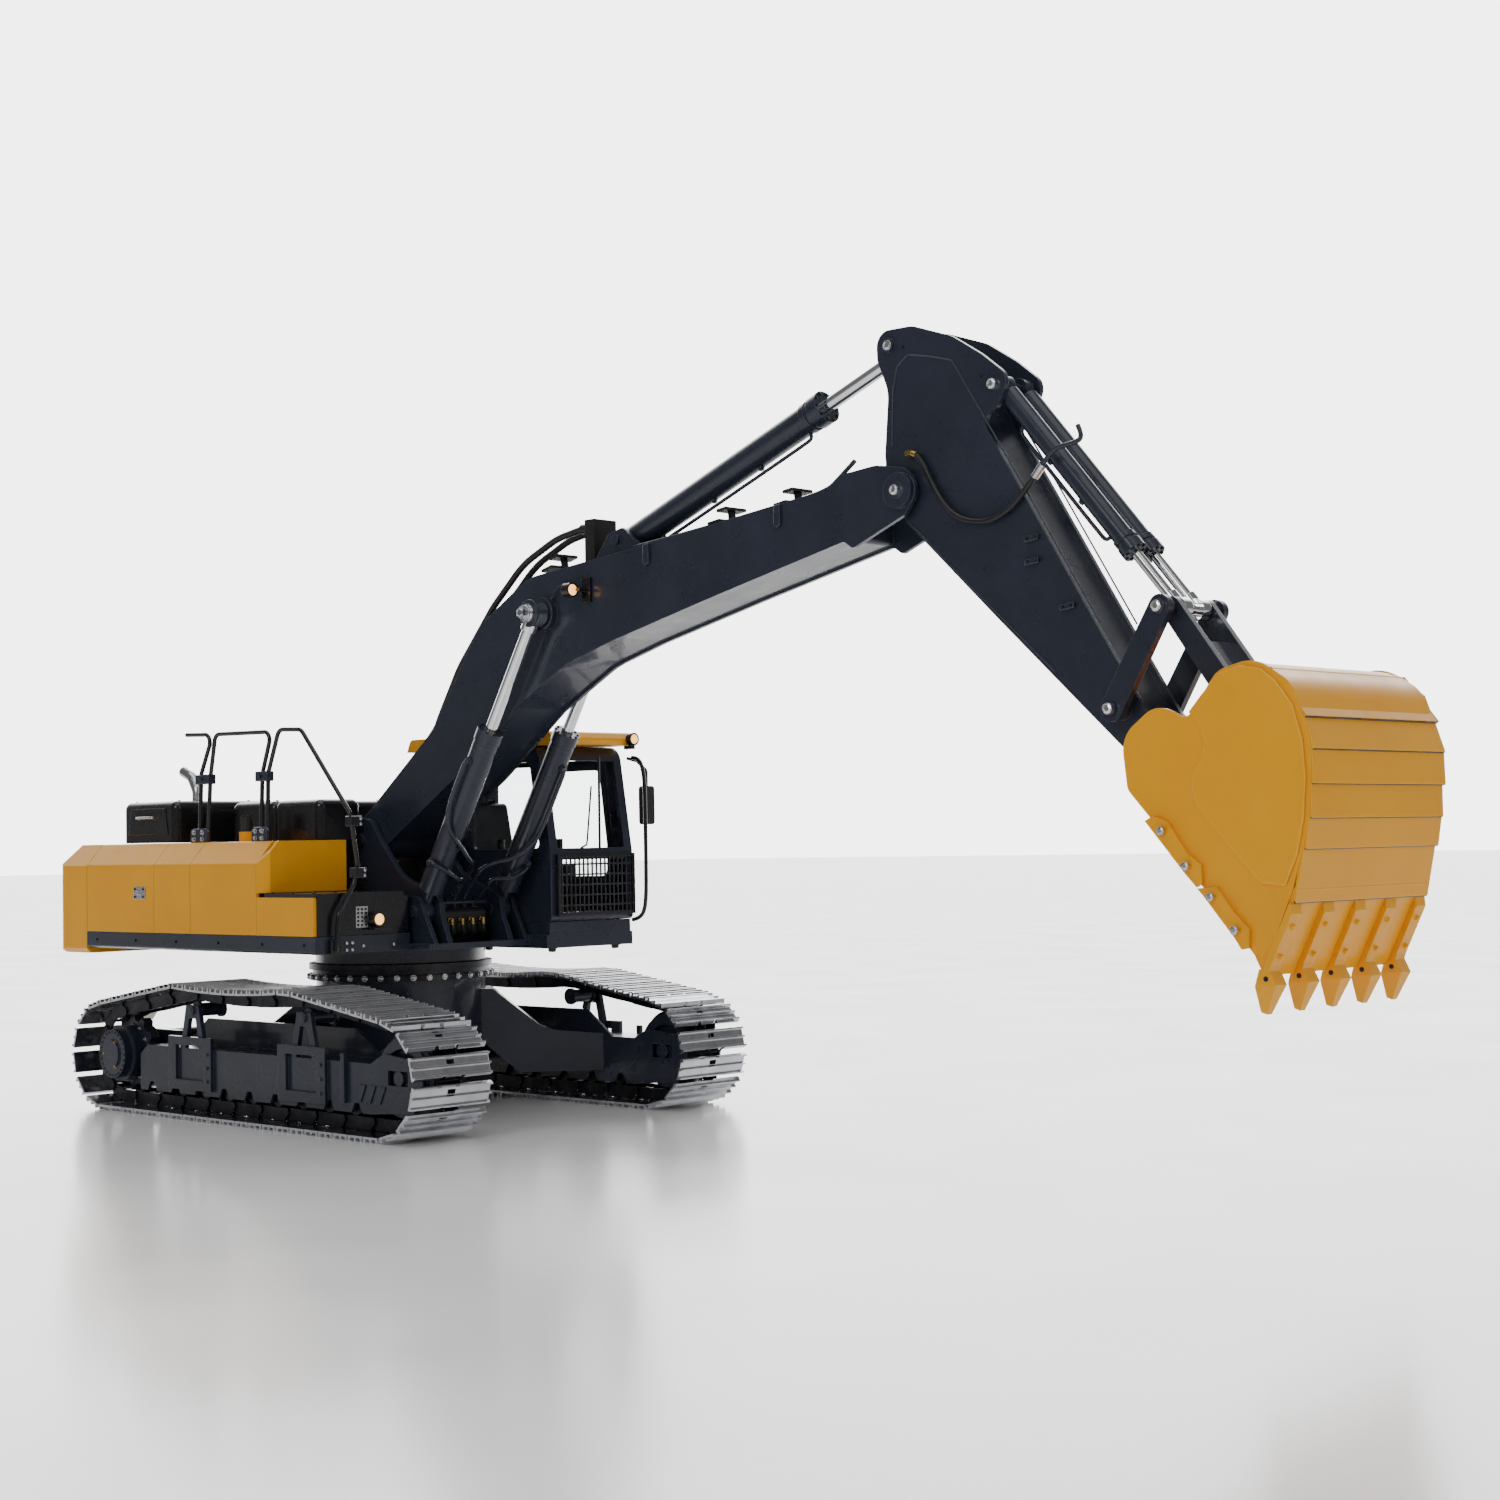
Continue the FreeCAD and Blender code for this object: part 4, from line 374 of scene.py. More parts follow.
# flat wear straps, each lapping over the next one down: the angles of their edges around the shell,
# how far each stands off the shell along its upper and lower edge, and how far it sinks into the shell
STRAP_EDGES = (62, 32.4, 15.6, -2.7, -20.9, -36.4, -56.6)
STRAP_UPPER, STRAP_LOWER, STRAP_SUNK = 0.3, 1.5, -0.3
for k, (high, low) in enumerate(zip(STRAP_EDGES, STRAP_EDGES[1:])):
    outline = [on_shell(high, STRAP_UPPER), on_shell(low, STRAP_LOWER), on_shell(low, STRAP_SUNK),
               on_shell((high + low) / 2, STRAP_SUNK), on_shell(high, STRAP_SUNK)]
    overhang = 2.2 if k % 2 else 3.0
    plate(f"wear_strap_{k + 1}", outline, 0.6 - BUCKET_HALF, BUCKET_HALF + overhang, yellow, "bucket", 0.2)
    # black strip under its lower edge: painted shadow of the overhanging strap
    shadow_outline = [on_shell(low, STRAP_LOWER - 0.3), on_shell(low, 0.2), on_shell(low - 0.5, 0.2),
            on_shell(low - 0.5, STRAP_LOWER - 0.3)]
    plate(f"strap_shadow_strip_{k + 1}", shadow_outline, 0.9 - BUCKET_HALF, BUCKET_HALF + overhang - 0.3, black, "bucket",
          bevel=0.0)

# raised cheek over each side plate, with its S-shaped front edge
CHEEK_THICKNESS = 1.5
CHEEK = [(620, 212), (626, 206), (628, 199), (626, 192), (622, 186), (621, 179), (624, 171), (631, 163),
         (643, 150), (654, 139), (665, 138), (671, 151), (674.5, 166), (675.8, 183), (674.8, 198),
         (670.5, 213), (663, 223), (656, 228.5), (646, 230.5), (636, 228), (627, 219.5)]
for side_name, s in SIDES:
    plate(f"bucket_cheek_{side_name}", CHEEK, s * BUCKET_HALF, s * (BUCKET_HALF + CHEEK_THICKNESS), yellow,
          "bucket", 0.5)

# socket screws of the side cutters
CUTTER_FACE = BUCKET_HALF + 3.3
CUTTER_SCREWS = ((606.5, 161.6), (618.5, 146.5), (630.5, 133.4), (642.0, 119.5))
for side_name, s in SIDES:
    places = [((x, s * CUTTER_FACE, z), (0, s, 0)) for x, z in CUTTER_SCREWS]
    bolts(f"cutter_screws_{side_name}", cap_screw, places, 2.1, steel, "bucket")

# small tabs along the top of the shell
TAB_HALF = 3.5
tab_x, tab_z = on_shell(76, 0)
tab_outline = [(tab_x - 4, tab_z - 0.4), (tab_x + 4, tab_z - 1.4), (tab_x + 4, tab_z + 0.2),
               (tab_x - 4, tab_z + 1.2)]
for k, y in enumerate((-40, -14, 12, 38)):
    plate(f"bucket_tab_{k + 1}", tab_outline, y - TAB_HALF, y + TAB_HALF, yellow, "bucket", 0.3)

# bosses on the lip and pins through the adapters, at each of the five teeth
TOOTH_PITCH, TOOTH_HALF = 25.9, 4.2
TOOTH_ROWS = [(k - 2) * TOOTH_PITCH for k in range(5)]
LIP_NORMAL = Vector((0.899, 0, -0.437))


def lip_bosses(work):
    """Two low bosses in a row over each tooth."""
    for y in TOOTH_ROWS:
        for x, z in ((660.0, 108.5), (666.0, 121.0)):
            disc(work, (x, y, z), LIP_NORMAL, 1.3, -1.5, 0.9, 20, 1.1)


def tooth_pins(work):
    """Both ends of the pin that holds each tooth."""
    for y in TOOTH_ROWS:
        for _, s in SIDES:
            disc(work, (655.0, y + s * TOOTH_HALF, 99.5), (0, s, 0), 1.1, -0.1, 0.25, 18)


new_mesh("lip_bosses", lip_bosses, yellow, "bucket", 0.15)
new_mesh("tooth_pins", tooth_pins, dark_steel, "bucket")

# ---------------------------------------------------------------- hydraulic cylinders

joint = {entry["name"]: entry for entry in frame["joints"]}
LIFT_Y = 29.4
# name, body, y of each barrel, length up to the end of the gland, gland radius and number of screws
CYLINDERS = [("boom_cylinder", "boom_cylinder_barrels", (-LIFT_Y, LIFT_Y), 124.0, 8.0, 10),
             ("arm_cylinder", "arm_cylinder_barrel", (0.0,), 159.0, 9.0, 10),
             ("bucket_cylinder", "bucket_cylinder_barrels", (-7.4, 7.4), 115.0, 6.0, 8)]
for name, body, sides, end, radius, count in CYLINDERS:
    foot = Vector(joint[name + "_swing"]["pos_m"]) * 1000
    along = Vector(joint[name + "_stroke"]["axis"])
    upward = along.cross(Vector((0, 1, 0))) * -1
    # socket screws around the end face of each gland
    places = []
    for y in sides:
        for i in range(count):
            angle = 2 * math.pi * (i + 0.5) / count
            around = upward * math.cos(angle) + Vector((0, 1, 0)) * math.sin(angle)
            centre = Vector((foot.x, y, foot.z)) + along * end + around * (radius - 1.3)
            places.append((centre, along))
    bolts(name + "_gland_screws", cap_screw, places, 0.85, dark_steel, body)
    # the boom cylinders get their own lines below
    if name == "boom_cylinder":
        continue
    for k, y in enumerate(sides):
        def port(at, out):
            """Point over the barrel: along it from the foot pin, and out from its axis."""
            return Vector((foot.x, y, foot.z)) + along * at + upward * out

        # supply pipe along the top of the barrel, between its two ports, with two clips
        top, sunk = radius + 1.6, radius - 2
        line = [port(24, sunk), port(24, top), port(29, top + 0.6),
                port(end - 20, top + 0.6), port(end - 15, top), port(end - 15, sunk)]
        pipe(f"{name}_pipe_{k + 1}", line, 1.0, navy, body)
        collars = [(port(end * share, radius - 1.2), upward) for share in (0.42, 0.66)]
        bolts(f"{name}_pipe_clips_{k + 1}", hex_bolt, collars, 1.6, navy, body)

# lines of the boom cylinders, from the valve pipes to the two ports of each barrel
lift_foot = Vector(joint["boom_cylinder_swing"]["pos_m"]) * 1000
lift_along = Vector(joint["boom_cylinder_stroke"]["axis"])
lift_front = Vector((lift_along.z, 0, -lift_along.x))
# height at which the short and the long lines leave the valve pipes, and their y there
SHORT_Z, LONG_Z = 137, 144
START_Y = {"right": (-11.0, -3.5), "left": (11.0, 4.0)}
LINE_RADIUS = 1.3


def on_barrel(at, out, y):
    """Point beside a boom cylinder: along it from the foot pin, out to its front, and across."""
    return Vector((lift_foot.x, 0, lift_foot.z)) + lift_along * at + lift_front * out + Vector((0, y, 0))


# on the right they go round to the outer side; on the left, beside the cab, they stay in front
LONG_PATH = {"right": [(42, 9.6, -19), (50, 10.4, -27), (57, 9.0, -36), (64, 3.0, -39.6),
                       (76, 0.0, -39.8), (98, 0.0, -39.8), (103, 0.0, -39.4), (103, 0.0, -36)],
             "left": [(42, 9.6, 19), (50, 10.4, 25), (60, 10.2, LIFT_Y), (96, 10.0, LIFT_Y),
                      (103, 10.0, LIFT_Y), (103, 6.0, LIFT_Y)]}
SHORT_PATH = {"right": [(27, 9.8, -20), (33, 10.4, -29), (36, 6.0, -38), (36, 1.0, -39.6), (34, 0.0, -36)],
              "left": [(27, 9.8, 20), (32, 10.6, 26), (36, 10.0, 31), (36, 6.0, 31)]}
for side_name, (short_y, long_y) in START_Y.items():
    long_line = [(72, long_y, LONG_Z), (77, long_y, LONG_Z + 5)]
    long_line += [on_barrel(*place) for place in LONG_PATH[side_name]]
    short_line = [(72, short_y, SHORT_Z), (76, short_y, SHORT_Z + 4)]
    short_line += [on_barrel(*place) for place in SHORT_PATH[side_name]]
    pipe(f"boom_cylinder_long_line_{side_name}", long_line, LINE_RADIUS, navy, "boom_cylinder_barrels")
    pipe(f"boom_cylinder_short_line_{side_name}", short_line, LINE_RADIUS, navy, "boom_cylinder_barrels")
ends = [(on_barrel(at, 0.0, -37.0), RIGHT) for at in (34, 103)]
ends += [(on_barrel(36, 7.2, 31), lift_front), (on_barrel(103, 7.6, LIFT_Y), lift_front)]
bolts("boom_cylinder_ports", hex_bolt, ends, 2.2, navy, "boom_cylinder_barrels")

# valve block between the feet, with its rising pipes, clamp bar and brass fittings
VALVE_FRONT, VALVE_TOP = 62, 123.5
valve_outline = [(50, 107), (VALVE_FRONT, 107), (VALVE_FRONT, 121), (59, VALVE_TOP), (50, VALVE_TOP)]
plate("front_valve_block", valve_outline, -18, 18, plastic, "upper", 0.8)
for k, (y, top_z) in enumerate(((-11.0, SHORT_Z), (-3.5, LONG_Z), (4.0, LONG_Z), (11.0, SHORT_Z))):
    line = [(57, y, 123), (57, y, 129), (64, y, top_z - 7), (71.4, y, top_z - 0.6)]
    pipe(f"valve_pipe_{k + 1}", line, LINE_RADIUS, navy, "upper")
    bolts(f"valve_nut_{k + 1}", hex_bolt, [((57, y, 123.3), UP)], 1.9, dark_steel, "upper")
pipe("valve_clamp_bar", [(60, -19, 126.5), (60, 19, 126.5)], 1.1, navy, "upper", order=2)
FITTING_ROWS, FITTING_Z = (-12, -4, 4, 12), 116


def valve_fittings(work):
    """Brass elbows along the front of the valve block."""
    for y in FITTING_ROWS:
        disc(work, (VALVE_FRONT, y, FITTING_Z), FRONT, 1.7, 0.0, 2.2, 6)
        disc(work, (64.2, y, FITTING_Z), FRONT, 1.1, 0.0, 2.4, 18)
        disc(work, (66.0, y, FITTING_Z), UP, 1.1, -3.0, 1.1, 18)


new_mesh("valve_fittings", valve_fittings, brass, "upper", 0.12)
for k, y in enumerate(FITTING_ROWS):
    line = [(66.0, y, 113.2), (66.0, y, 109), (63.0, y + 1, 106.2)]
    pipe(f"valve_hose_{k + 1}", line, LINE_RADIUS, rubber, "upper")

# cover rings and nuts on the rod pins of the boom cylinders
LIFT_EYE_X, LIFT_EYE_Z = 165.6, 291.7
for side_name, s in SIDES:
    def pin_nut(work):
        """Washer and hexagon head on the end of the rod pin."""
        disc(work, (LIFT_EYE_X, s * 36.3, LIFT_EYE_Z), (0, s, 0), 4.6, 0.0, 1.0, 24)
        hex_bolt(work, (LIFT_EYE_X, s * 37.2, LIFT_EYE_Z), (0, s, 0), 3.4)

    def eye_ring(work):
        """Flat ring on the outer face of the rod's eye."""
        disc(work, (LIFT_EYE_X, s * 33.1, LIFT_EYE_Z), (0, s, 0), 7.9, -0.3, 0.9, 36)

    new_mesh(f"lift_pin_nut_{side_name}", pin_nut, chrome, "boom_cylinder_rods", 0.15)
    new_mesh(f"lift_eye_ring_{side_name}", eye_ring, navy, "boom_cylinder_rods", 0.3)

# ---------------------------------------------------------------- boom

# chromed ends of the pins on the boom, the arm and the bucket levers: x, z and y of the end face
PIN_RADIUS = 2.9
PIN_ENDS = [("boom_nose", 432.1, 331.9, 23.8, "boom"), ("arm_rear", 422.1, 406.4, 14.9, "arm"),
            ("cylinder_foot", 487.2, 377.6, 14.9, "arm"), ("lever_foot", 557.8, 217.5, 25.4, "arm"),
            ("lever_top", 585.0, 262.1, 24.9, "bucket_levers")]
for pin_name, x, z, end_y, body in PIN_ENDS:
    places = [((x, s * end_y, z), (0, s, 0)) for _, s in SIDES]
    bolts(pin_name + "_pin_ends", cap_screw, places, PIN_RADIUS, rod_chrome, body)

# screws that keep the nose pin from turning
BOOM_HALF = 20.5
NOSE_SCREWS = ((425, 333), (427, 326.5))
places = [((x, s * (BOOM_HALF + 0.05), z), (0, s, 0)) for _, s in SIDES for x, z in NOSE_SCREWS]
bolts("boom_nose_screws", cap_screw, places, 0.8, dark_steel, "boom")

# small cleats hanging over the upper edge of each side plate
for side_name, s in SIDES:
    inner, outer = s * (BOOM_HALF - 0.2), s * (BOOM_HALF + 1.6)
    for k, (x, z) in enumerate(((250, 322.5), (349, 333.0))):
        outline = [(x - 2.2, z + 1), (x + 2.2, z + 1.4), (x + 2.4, z - 9), (x, z - 11), (x - 2.4, z - 9)]
        plate(f"boom_cleat_{side_name}_{k + 1}", outline, inner, outer, navy, "boom", 0.4)

# hard lines along the top plate, from the arm cylinder's foot to the nose
TOP_LINE_Y = 13
TOP_LINE = ((232, 324.4), (262, 326.6), (330, 333.4), (376, 338.4), (386, 345), (396, 352))
for side_name, s in SIDES:
    pipe(f"boom_hard_line_{side_name}", [(x, s * TOP_LINE_Y, z) for x, z in TOP_LINE], 1.2, navy, "boom")

# wiring of the boom lamp
wire = [(193, -22.6, 305), (186, -22.6, 309), (178, -22.4, 306), (172, -22, 300), (168, -21.2, 293)]
pipe("boom_lamp_wire", wire, 0.5, rubber, "boom")

# ---------------------------------------------------------------- arm

# weld beads along the edges of the side plates
ARM_HALF = 15.0
ARM_FACE = ARM_HALF + 0.05
WELD_RADIUS = 0.45
REAR_WELD = [(423, 356), (424, 382), (427, 395), (434, 400), (448, 397), (462, 393), (504, 327), (546, 259)]
FRONT_WELD = [(433, 317), (458, 293), (490, 264), (520, 237)]
for side_name, s in SIDES:
    for weld, path in (("rear", REAR_WELD), ("front", FRONT_WELD)):
        line = [(x, s * ARM_FACE, z) for x, z in path]
        pipe(f"arm_weld_{weld}_{side_name}", line, WELD_RADIUS, navy, "arm", order=2)

# hose loop on the right side, from its brass elbow to the crimped ferrule, then a hard line
HOSE_Y = -17.6
HOSE_PATH = ((439.5, 349.2), (444, 346), (450, 334), (459, 320), (470, 313), (485, 311), (498, 316),
             (508, 325), (514, 331))
pipe("arm_hose", [(x, HOSE_Y, z) for x, z in HOSE_PATH], 1.5, rubber, "arm")
pipe("arm_hose_ferrule", [(512.5, HOSE_Y, 329.3), (517.5, HOSE_Y, 334.8)], 2.1, steel, "arm", order=2)
line = [(517, HOSE_Y, 334.3), (522, HOSE_Y, 339.5), (527, HOSE_Y, 342), (536, HOSE_Y, 342.5),
        (540, -16, 345), (536, -14.5, 351)]
pipe("arm_hard_line", line, 1.2, navy, "arm")


def elbow(work):
    """Brass elbow: hexagon body, nut and stub."""
    disc(work, (434.5, HOSE_Y, 350.2), FRONT, 2.0, 0.0, 3.6, 6)
    disc(work, (437.6, HOSE_Y, 350.0), (0.9, 0, -0.35), 1.7, 0.0, 3.0, 20)
    disc(work, (434.8, HOSE_Y + 2.6, 350.2), RIGHT, 1.4, -1.0, 2.0, 18)


new_mesh("arm_brass_elbow", elbow, brass, "arm", 0.12)

# hose clamps on the right side plate
CLAMP_FACE = -ARM_HALF - 2.2
for k, (x, z) in enumerate(((509, 301), (509, 290), (529, 267))):
    outline = [(x - 4, z - 1.8), (x + 4, z - 1.0), (x + 4, z + 1.8), (x - 4, z + 1.0)]
    plate(f"arm_hose_clamp_{k + 1}", outline, CLAMP_FACE, -ARM_HALF, navy, "arm", 0.3)
    places = [((x - 2.4, CLAMP_FACE, z - 0.2), RIGHT), ((x + 2.4, CLAMP_FACE, z + 0.4), RIGHT)]
    bolts(f"arm_hose_clamp_screws_{k + 1}", cap_screw, places, 0.9, dark_steel, "arm")

# screws that keep the arm's rear pins from turning
REAR_SCREWS = ((431, 404.5), (480, 382.5))
places = [((x, s * ARM_FACE, z), (0, s, 0)) for _, s in SIDES for x, z in REAR_SCREWS]
bolts("arm_pin_screws", cap_screw, places, 0.8, dark_steel, "arm")

# ---------------------------------------------------------------- upper body


def block(x0, x1, z0, z1):
    """Upright rectangle as an outline for plate()."""
    return [(x0, z0), (x1, z0), (x1, z1), (x0, z1)]


# latch plate of the right door, with its screws and lock
BODY_HALF = 108.0
LATCH_FACE = -BODY_HALF - 0.7
plate("door_latch", block(-131, -118, 130.6, 138.6), LATCH_FACE, -BODY_HALF + 0.1, steel, "right_door", 0.3)
places = [((x, LATCH_FACE, z), RIGHT) for x in (-129.2, -119.8) for z in (132.2, 137.0)]
bolts("door_latch_screws", cap_screw, places, 0.75, dark_steel, "right_door")
bolts("door_latch_lock", hex_bolt, [((-124.5, LATCH_FACE + 0.1, 134.6), RIGHT)], 1.5, steel, "right_door")

# screws of the skirt, the deck's front and the tool box lid
SMALL_SCREW = 0.9
DECK_FRONT = 61.0
places = [((x, -BODY_HALF, 104.8), RIGHT) for x in (-176, -130, -84, -38, 8, 50)]
bolts("skirt_screws", cap_screw, places, SMALL_SCREW, dark_steel, "upper")
places = [((DECK_FRONT, y, z), FRONT) for y in (-86, -82) for z in (101.5, 105.5)]
places += [((DECK_FRONT, y, 103.5), FRONT) for y in (-74, -52)]
bolts("deck_front_screws", cap_screw, places, 1.1, steel, "upper")
places = [((x, y, 134.5), UP) for x in (14, 34, 55) for y in (-104, -74, -46)]
bolts("tool_box_screws", cap_screw, places, SMALL_SCREW, dark_steel, "upper")

# feet of the handrails: upright plates bolted from the side
FOOT_FACE, FOOT_BACK = -94.0, -92.2
for k, (x0, x1) in enumerate(((-88.5, -70.5), (-22.5, -6.5))):
    outline = [(x0, 165.2), (x1, 165.2), (x1, 172), (x1 - 2, 174), (x0 + 2, 174), (x0, 172)]
    plate(f"rail_foot_{k + 1}", outline, FOOT_FACE, FOOT_BACK, navy, "upper", 0.3)
    places = [((x, FOOT_FACE, z), RIGHT) for x in (x0 + 4.5, x1 - 4.5) for z in (167.4, 171.6)]
    bolts(f"rail_foot_screws_{k + 1}", hex_bolt, places, 1.3, steel, "upper")

# blocks that tie neighbouring handrails together
TIE_FACE, TIE_BACK = -92.8, -87.2
for k, (x0, x1) in enumerate(((-85, -70), (-20, -8))):
    plate(f"rail_clamp_{k + 1}", block(x0, x1, 201.5, 207.5), TIE_FACE, TIE_BACK, navy, "upper", 0.6)
    places = [(((x0 + x1) / 2, TIE_FACE, 204.5), RIGHT)]
    bolts(f"rail_clamp_screw_{k + 1}", cap_screw, places, 1.0, dark_steel, "upper")

# clamps of the front rail, with two screws each
CLAMP_FRONT = 67.2
for k, (z, y) in enumerate(((176, -83.5), (146, -81))):
    plate(f"front_rail_clamp_{k + 1}", block(61.4, CLAMP_FRONT, z - 3.0, z + 3.0), y - 2.8, y + 5.4, black,
          "upper", 0.5)
    places = [((CLAMP_FRONT, y + 3.8, z + dz), FRONT) for dz in (-1.5, 1.5)]
    bolts(f"front_rail_clamp_screws_{k + 1}", cap_screw, places, 1.0, steel, "upper")

# dark strips in the seams between the side panels: painted shade of the gaps
for side_name, s in SIDES:
    for k, x in enumerate((-108.4, -67.9)):
        plate(f"seam_shade_{side_name}_{k + 1}", block(x - 0.5, x + 0.5, 111, 152), s * (BODY_HALF - 2.2),
              s * (BODY_HALF - 0.7), rubber, "upper", 0.1)

# screws of the pump cover and the hood
places = [((x, y, 190.6), UP) for x in (-90, -53) for y in (-54, 0, 54)]
bolts("pump_cover_screws", cap_screw, places, SMALL_SCREW, steel, "upper")
places = [((x, y, 192.4), UP) for x in (-176, -126) for y in (-78, -26, 26, 78)]
bolts("engine_hood_screws", cap_screw, places, SMALL_SCREW, steel, "engine_hood")


def perforated(work):
    """Rows of dark dots that stand for the holes of the perforated plate."""
    for row in range(5):
        for column in range(3):
            disc(work, (60.9, -77.4 + 2.7 * column, 115.6 + 2.3 * row), FRONT, 0.75, 0.0, 0.25, 12)


# perforated plate on the front of the tool box
plate("tool_box_plate", block(60.5, DECK_FRONT, 114, 126.5), -79, -70.4, steel, "upper", 0.1)
new_mesh("tool_box_plate_holes", perforated, dark_steel, "upper")

# dark panel and grab handle on the right side of the hood
HOOD_SIDE = -85.4
panel_outline = [(-174, 171), (-128, 171), (-131, 188), (-171, 188)]
plate("hood_panel", panel_outline, HOOD_SIDE - 0.3, HOOD_SIDE + 0.5, black, "engine_hood", 0.5)
line = [(-160, HOOD_SIDE, 181), (-160, HOOD_SIDE - 3, 182),
        (-142, HOOD_SIDE - 3, 182), (-142, HOOD_SIDE, 181)]
pipe("hood_handle", line, 0.9, steel, "engine_hood", order=2)

# ---------------------------------------------------------------- cab

line = [(99.4, 106.2, 214), (104, 107.4, 214), (107, 109, 206), (107.6, 109.4, 190),
        (107.6, 109.4, 140), (107.2, 109.0, 121), (104, 107.6, 113.5), (98, 106.2, 112.5)]
pipe("cab_handrail", line, 1.3, black, "upper")
pipe("windscreen_pole", [(99.4, 78, 158), (99.6, 78, 214)], 0.8, black, "upper", order=2)
pipe("wiper_arm", [(99.8, 62, 158), (101.0, 66, 160), (101.2, 70, 196)], 0.6, plastic, "upper", order=2)
places = [((x, y, 97.6), DOWN) for x in (-30, 30, 90) for y in (46, 98)]
bolts("cab_feet", hex_bolt, places, 2.6, black, "upper")

# ---------------------------------------------------------------- lamps

# centre of the glass, radius of the housing and body
LAMPS = {"deck_lamp": ((66.2, -66, 118.6), 4.4, "upper"),
         "cab_lamp_right": ((108.2, 44, 225.2), 4.0, "upper"),
         "cab_lamp_left": ((108.2, 100.5, 225.2), 4.0, "upper"),
         "boom_lamp": ((198.5, -29.5, 302.5), 4.2, "boom")}
for name, (centre, radius, body) in LAMPS.items():
    def glowing(work):
        """Domed lens inside the rim of the lamp."""
        disc(work, centre, FRONT, radius - 0.9, -0.2, 0.7, 28, radius - 1.8)

    new_mesh(name + "_lens", glowing, lens, body, 0.1)

# ---------------------------------------------------------------- tracks

TRACK_Y, WHEEL_X, WHEEL_Z, FRAME_HALF = 99.8, 142.5, 34.0, 12.5
PLUG_RING, PLUG_FACE = 8.5, 18.0
BOLT_RING, BOLT_FACE, BOLT_COUNT = 17, 3.4, 12


def on_sprocket(s, radius, off, degrees):
    """Place on the face of a sprocket, facing outwards: radius and angle on it, distance off the middle."""
    angle = math.radians(degrees)
    x = -WHEEL_X + radius * math.cos(angle)
    z = WHEEL_Z + radius * math.sin(angle)
    return (x, s * (TRACK_Y + off), z), (0, s, 0)


for side_name, s in SIDES:
    face = s * (TRACK_Y + FRAME_HALF)
    # slanted louvres and rib of the idler guard
    for k, x in enumerate((104, 113, 122)):
        plate(f"guard_louvre_{side_name}_{k + 1}", [(x, 19), (x + 5, 19), (x + 10, 29), (x + 5, 29)],
              face, face + s * 0.9, navy, "undercarriage", 0.3)
    plate(f"guard_rib_{side_name}", block(93, 96.4, 18, 46), face, face + s * 2.6, navy, "undercarriage", 0.4)
    # brass filler plugs on the turning cover of the final drive, and the bolts of the sprocket
    places = [on_sprocket(s, PLUG_RING, PLUG_FACE, degrees) for degrees in (60, 180, 300)]
    bolts(f"drive_plugs_{side_name}", hex_bolt, places, 1.2, brass, f"sprocket_{side_name}")
    places = [on_sprocket(s, BOLT_RING, BOLT_FACE, i * 360 / BOLT_COUNT) for i in range(BOLT_COUNT)]
    bolts(f"sprocket_bolts_{side_name}", hex_bolt, places, 1.3, steel, f"sprocket_{side_name}")

# bolt heads around the fixed slewing ring
RING_RADIUS, RING_BOLTS, RING_Z = 56.2, 36, 81.9
places = []
for i in range(RING_BOLTS):
    angle = 2 * math.pi * i / RING_BOLTS
    around = Vector((math.cos(angle), math.sin(angle), 0))
    places.append((around * RING_RADIUS + Vector((0, 0, RING_Z)), around))
bolts("slewing_ring_bolts", hex_bolt, places, 1.5, steel, "undercarriage")

# ---------------------------------------------------------------- camera, floor and light

# place of the photo's camera, its three directions and its lens in mm
EYE = mm(1188.676, -911.465, 160.483)
LOOK = Vector((-0.69525522, 0.71774448, 0.03824961))
ACROSS = Vector((0.7176823, 0.69614328, -0.01779461))
ABOVE = Vector((0.0393992, -0.01507927, 0.99910976))
SENSOR_WIDTH, FOCAL_LENGTH = 36.0, 56.964

camera = bpy.data.objects.new("camera", bpy.data.cameras.new("camera"))
camera.data.sensor_width = SENSOR_WIDTH
camera.data.lens = FOCAL_LENGTH
camera.matrix_world = Matrix.Translation(EYE) @ Matrix((ACROSS, ABOVE, -LOOK)).transposed().to_4x4()
bpy.context.scene.collection.objects.link(camera)
bpy.context.scene.camera = camera


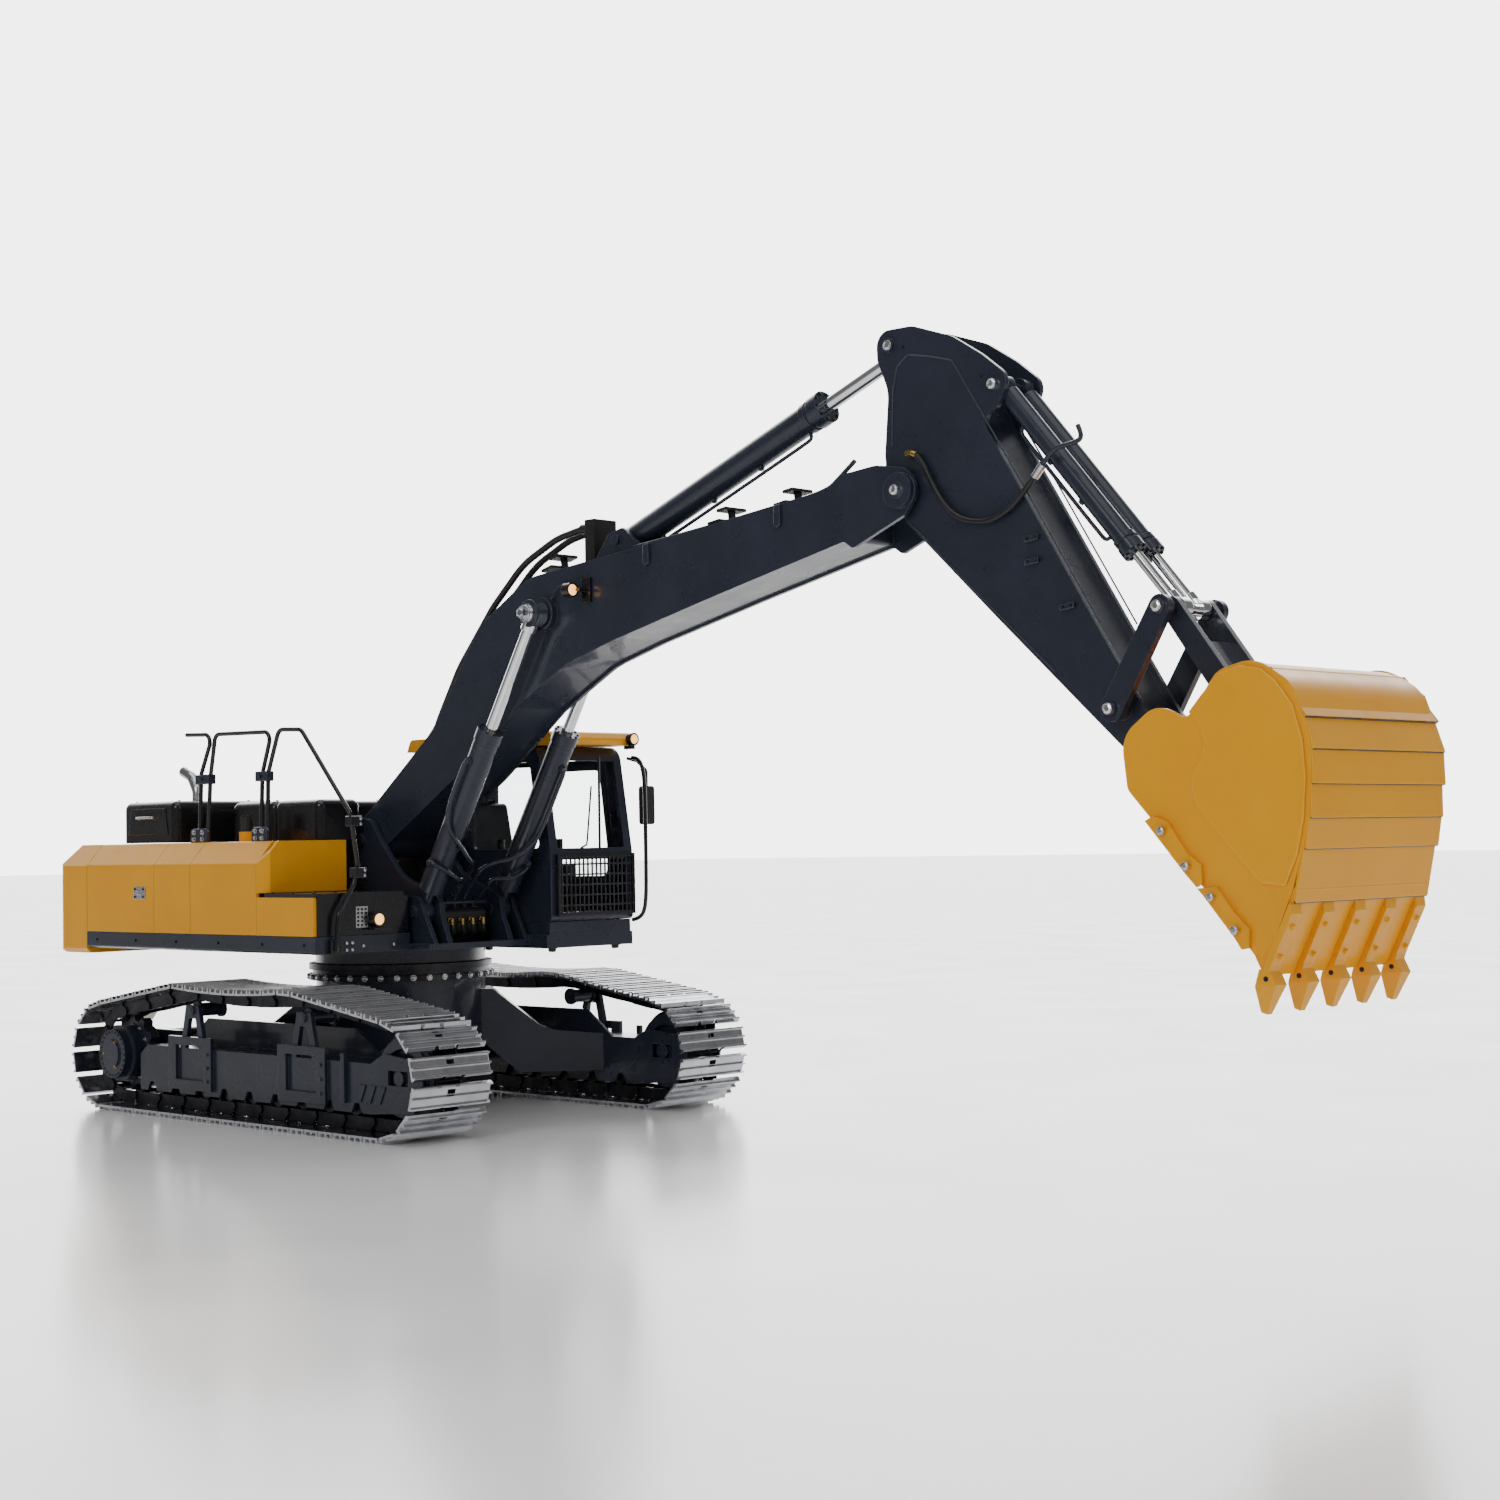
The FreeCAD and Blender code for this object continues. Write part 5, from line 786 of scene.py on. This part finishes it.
def floor_surface():
    """Polished white board."""
    made = Surface("studio_floor")
    made.feed("Base Color", made.patches(3.0, 3.0, (0.93, 0.93, 0.94), (0.96, 0.96, 0.96)))
    made.feed("Roughness", made.spread(made.noise(8.0), 0.17, 0.22))
    made.fix("Specular IOR Level", 0.6)
    return made.material


bpy.ops.mesh.primitive_plane_add(size=30.0, location=(0, 0, 0))
floor = bpy.context.object
floor.name = "studio_floor"
floor.data.materials.append(floor_surface())


def softbox(name, place, target, size, power):
    """Rectangular lamp aimed at a target; places and sizes in metres."""
    light = bpy.data.lights.new(name, "AREA")
    light.shape = "RECTANGLE"
    light.size, light.size_y = size
    light.energy = power
    obj = bpy.data.objects.new(name, light)
    obj.location = place
    obj.rotation_euler = (Vector(target) - Vector(place)).to_track_quat("-Z", "Y").to_euler()
    bpy.context.scene.collection.objects.link(obj)


CENTRE = (0.2, 0.0, 0.2)
softbox("overhead", (0.2, -0.2, 1.9), CENTRE, (2.0, 1.4), 13.5)
softbox("key", (0.9, -2.2, 1.5), CENTRE, (1.0, 1.0), 15.0)
softbox("front", (2.3, 0.4, 1.0), CENTRE, (0.8, 1.2), 6.5)


# how far a direction has to agree with the view for the dim and the bright level, and both levels
DIM_FROM, BRIGHT_FROM = 0.42, 0.90
DIM, BRIGHT = 0.16, 5.0


def studio_world():
    """White backdrop behind the machine that darkens towards the open side of the studio."""
    world = bpy.data.worlds.new("studio")
    world.use_nodes = True
    tree = world.node_tree
    place = tree.nodes.new("ShaderNodeTexCoord")
    along = tree.nodes.new("ShaderNodeVectorMath")
    along.operation = "DOT_PRODUCT"
    along.inputs[1].default_value = (LOOK.x, LOOK.y, 0.0)
    level = tree.nodes.new("ShaderNodeMapRange")
    level.interpolation_type = "SMOOTHSTEP"
    level.inputs["From Min"].default_value = DIM_FROM
    level.inputs["From Max"].default_value = BRIGHT_FROM
    level.inputs["To Min"].default_value = DIM
    level.inputs["To Max"].default_value = BRIGHT
    tree.links.new(place.outputs["Generated"], along.inputs[0])
    tree.links.new(along.outputs["Value"], level.inputs["Value"])
    tree.links.new(level.outputs["Result"], tree.nodes["Background"].inputs["Strength"])
    tree.nodes["Background"].inputs["Color"].default_value = (1.0, 1.0, 1.0, 1.0)
    return world


bpy.context.scene.world = studio_world()
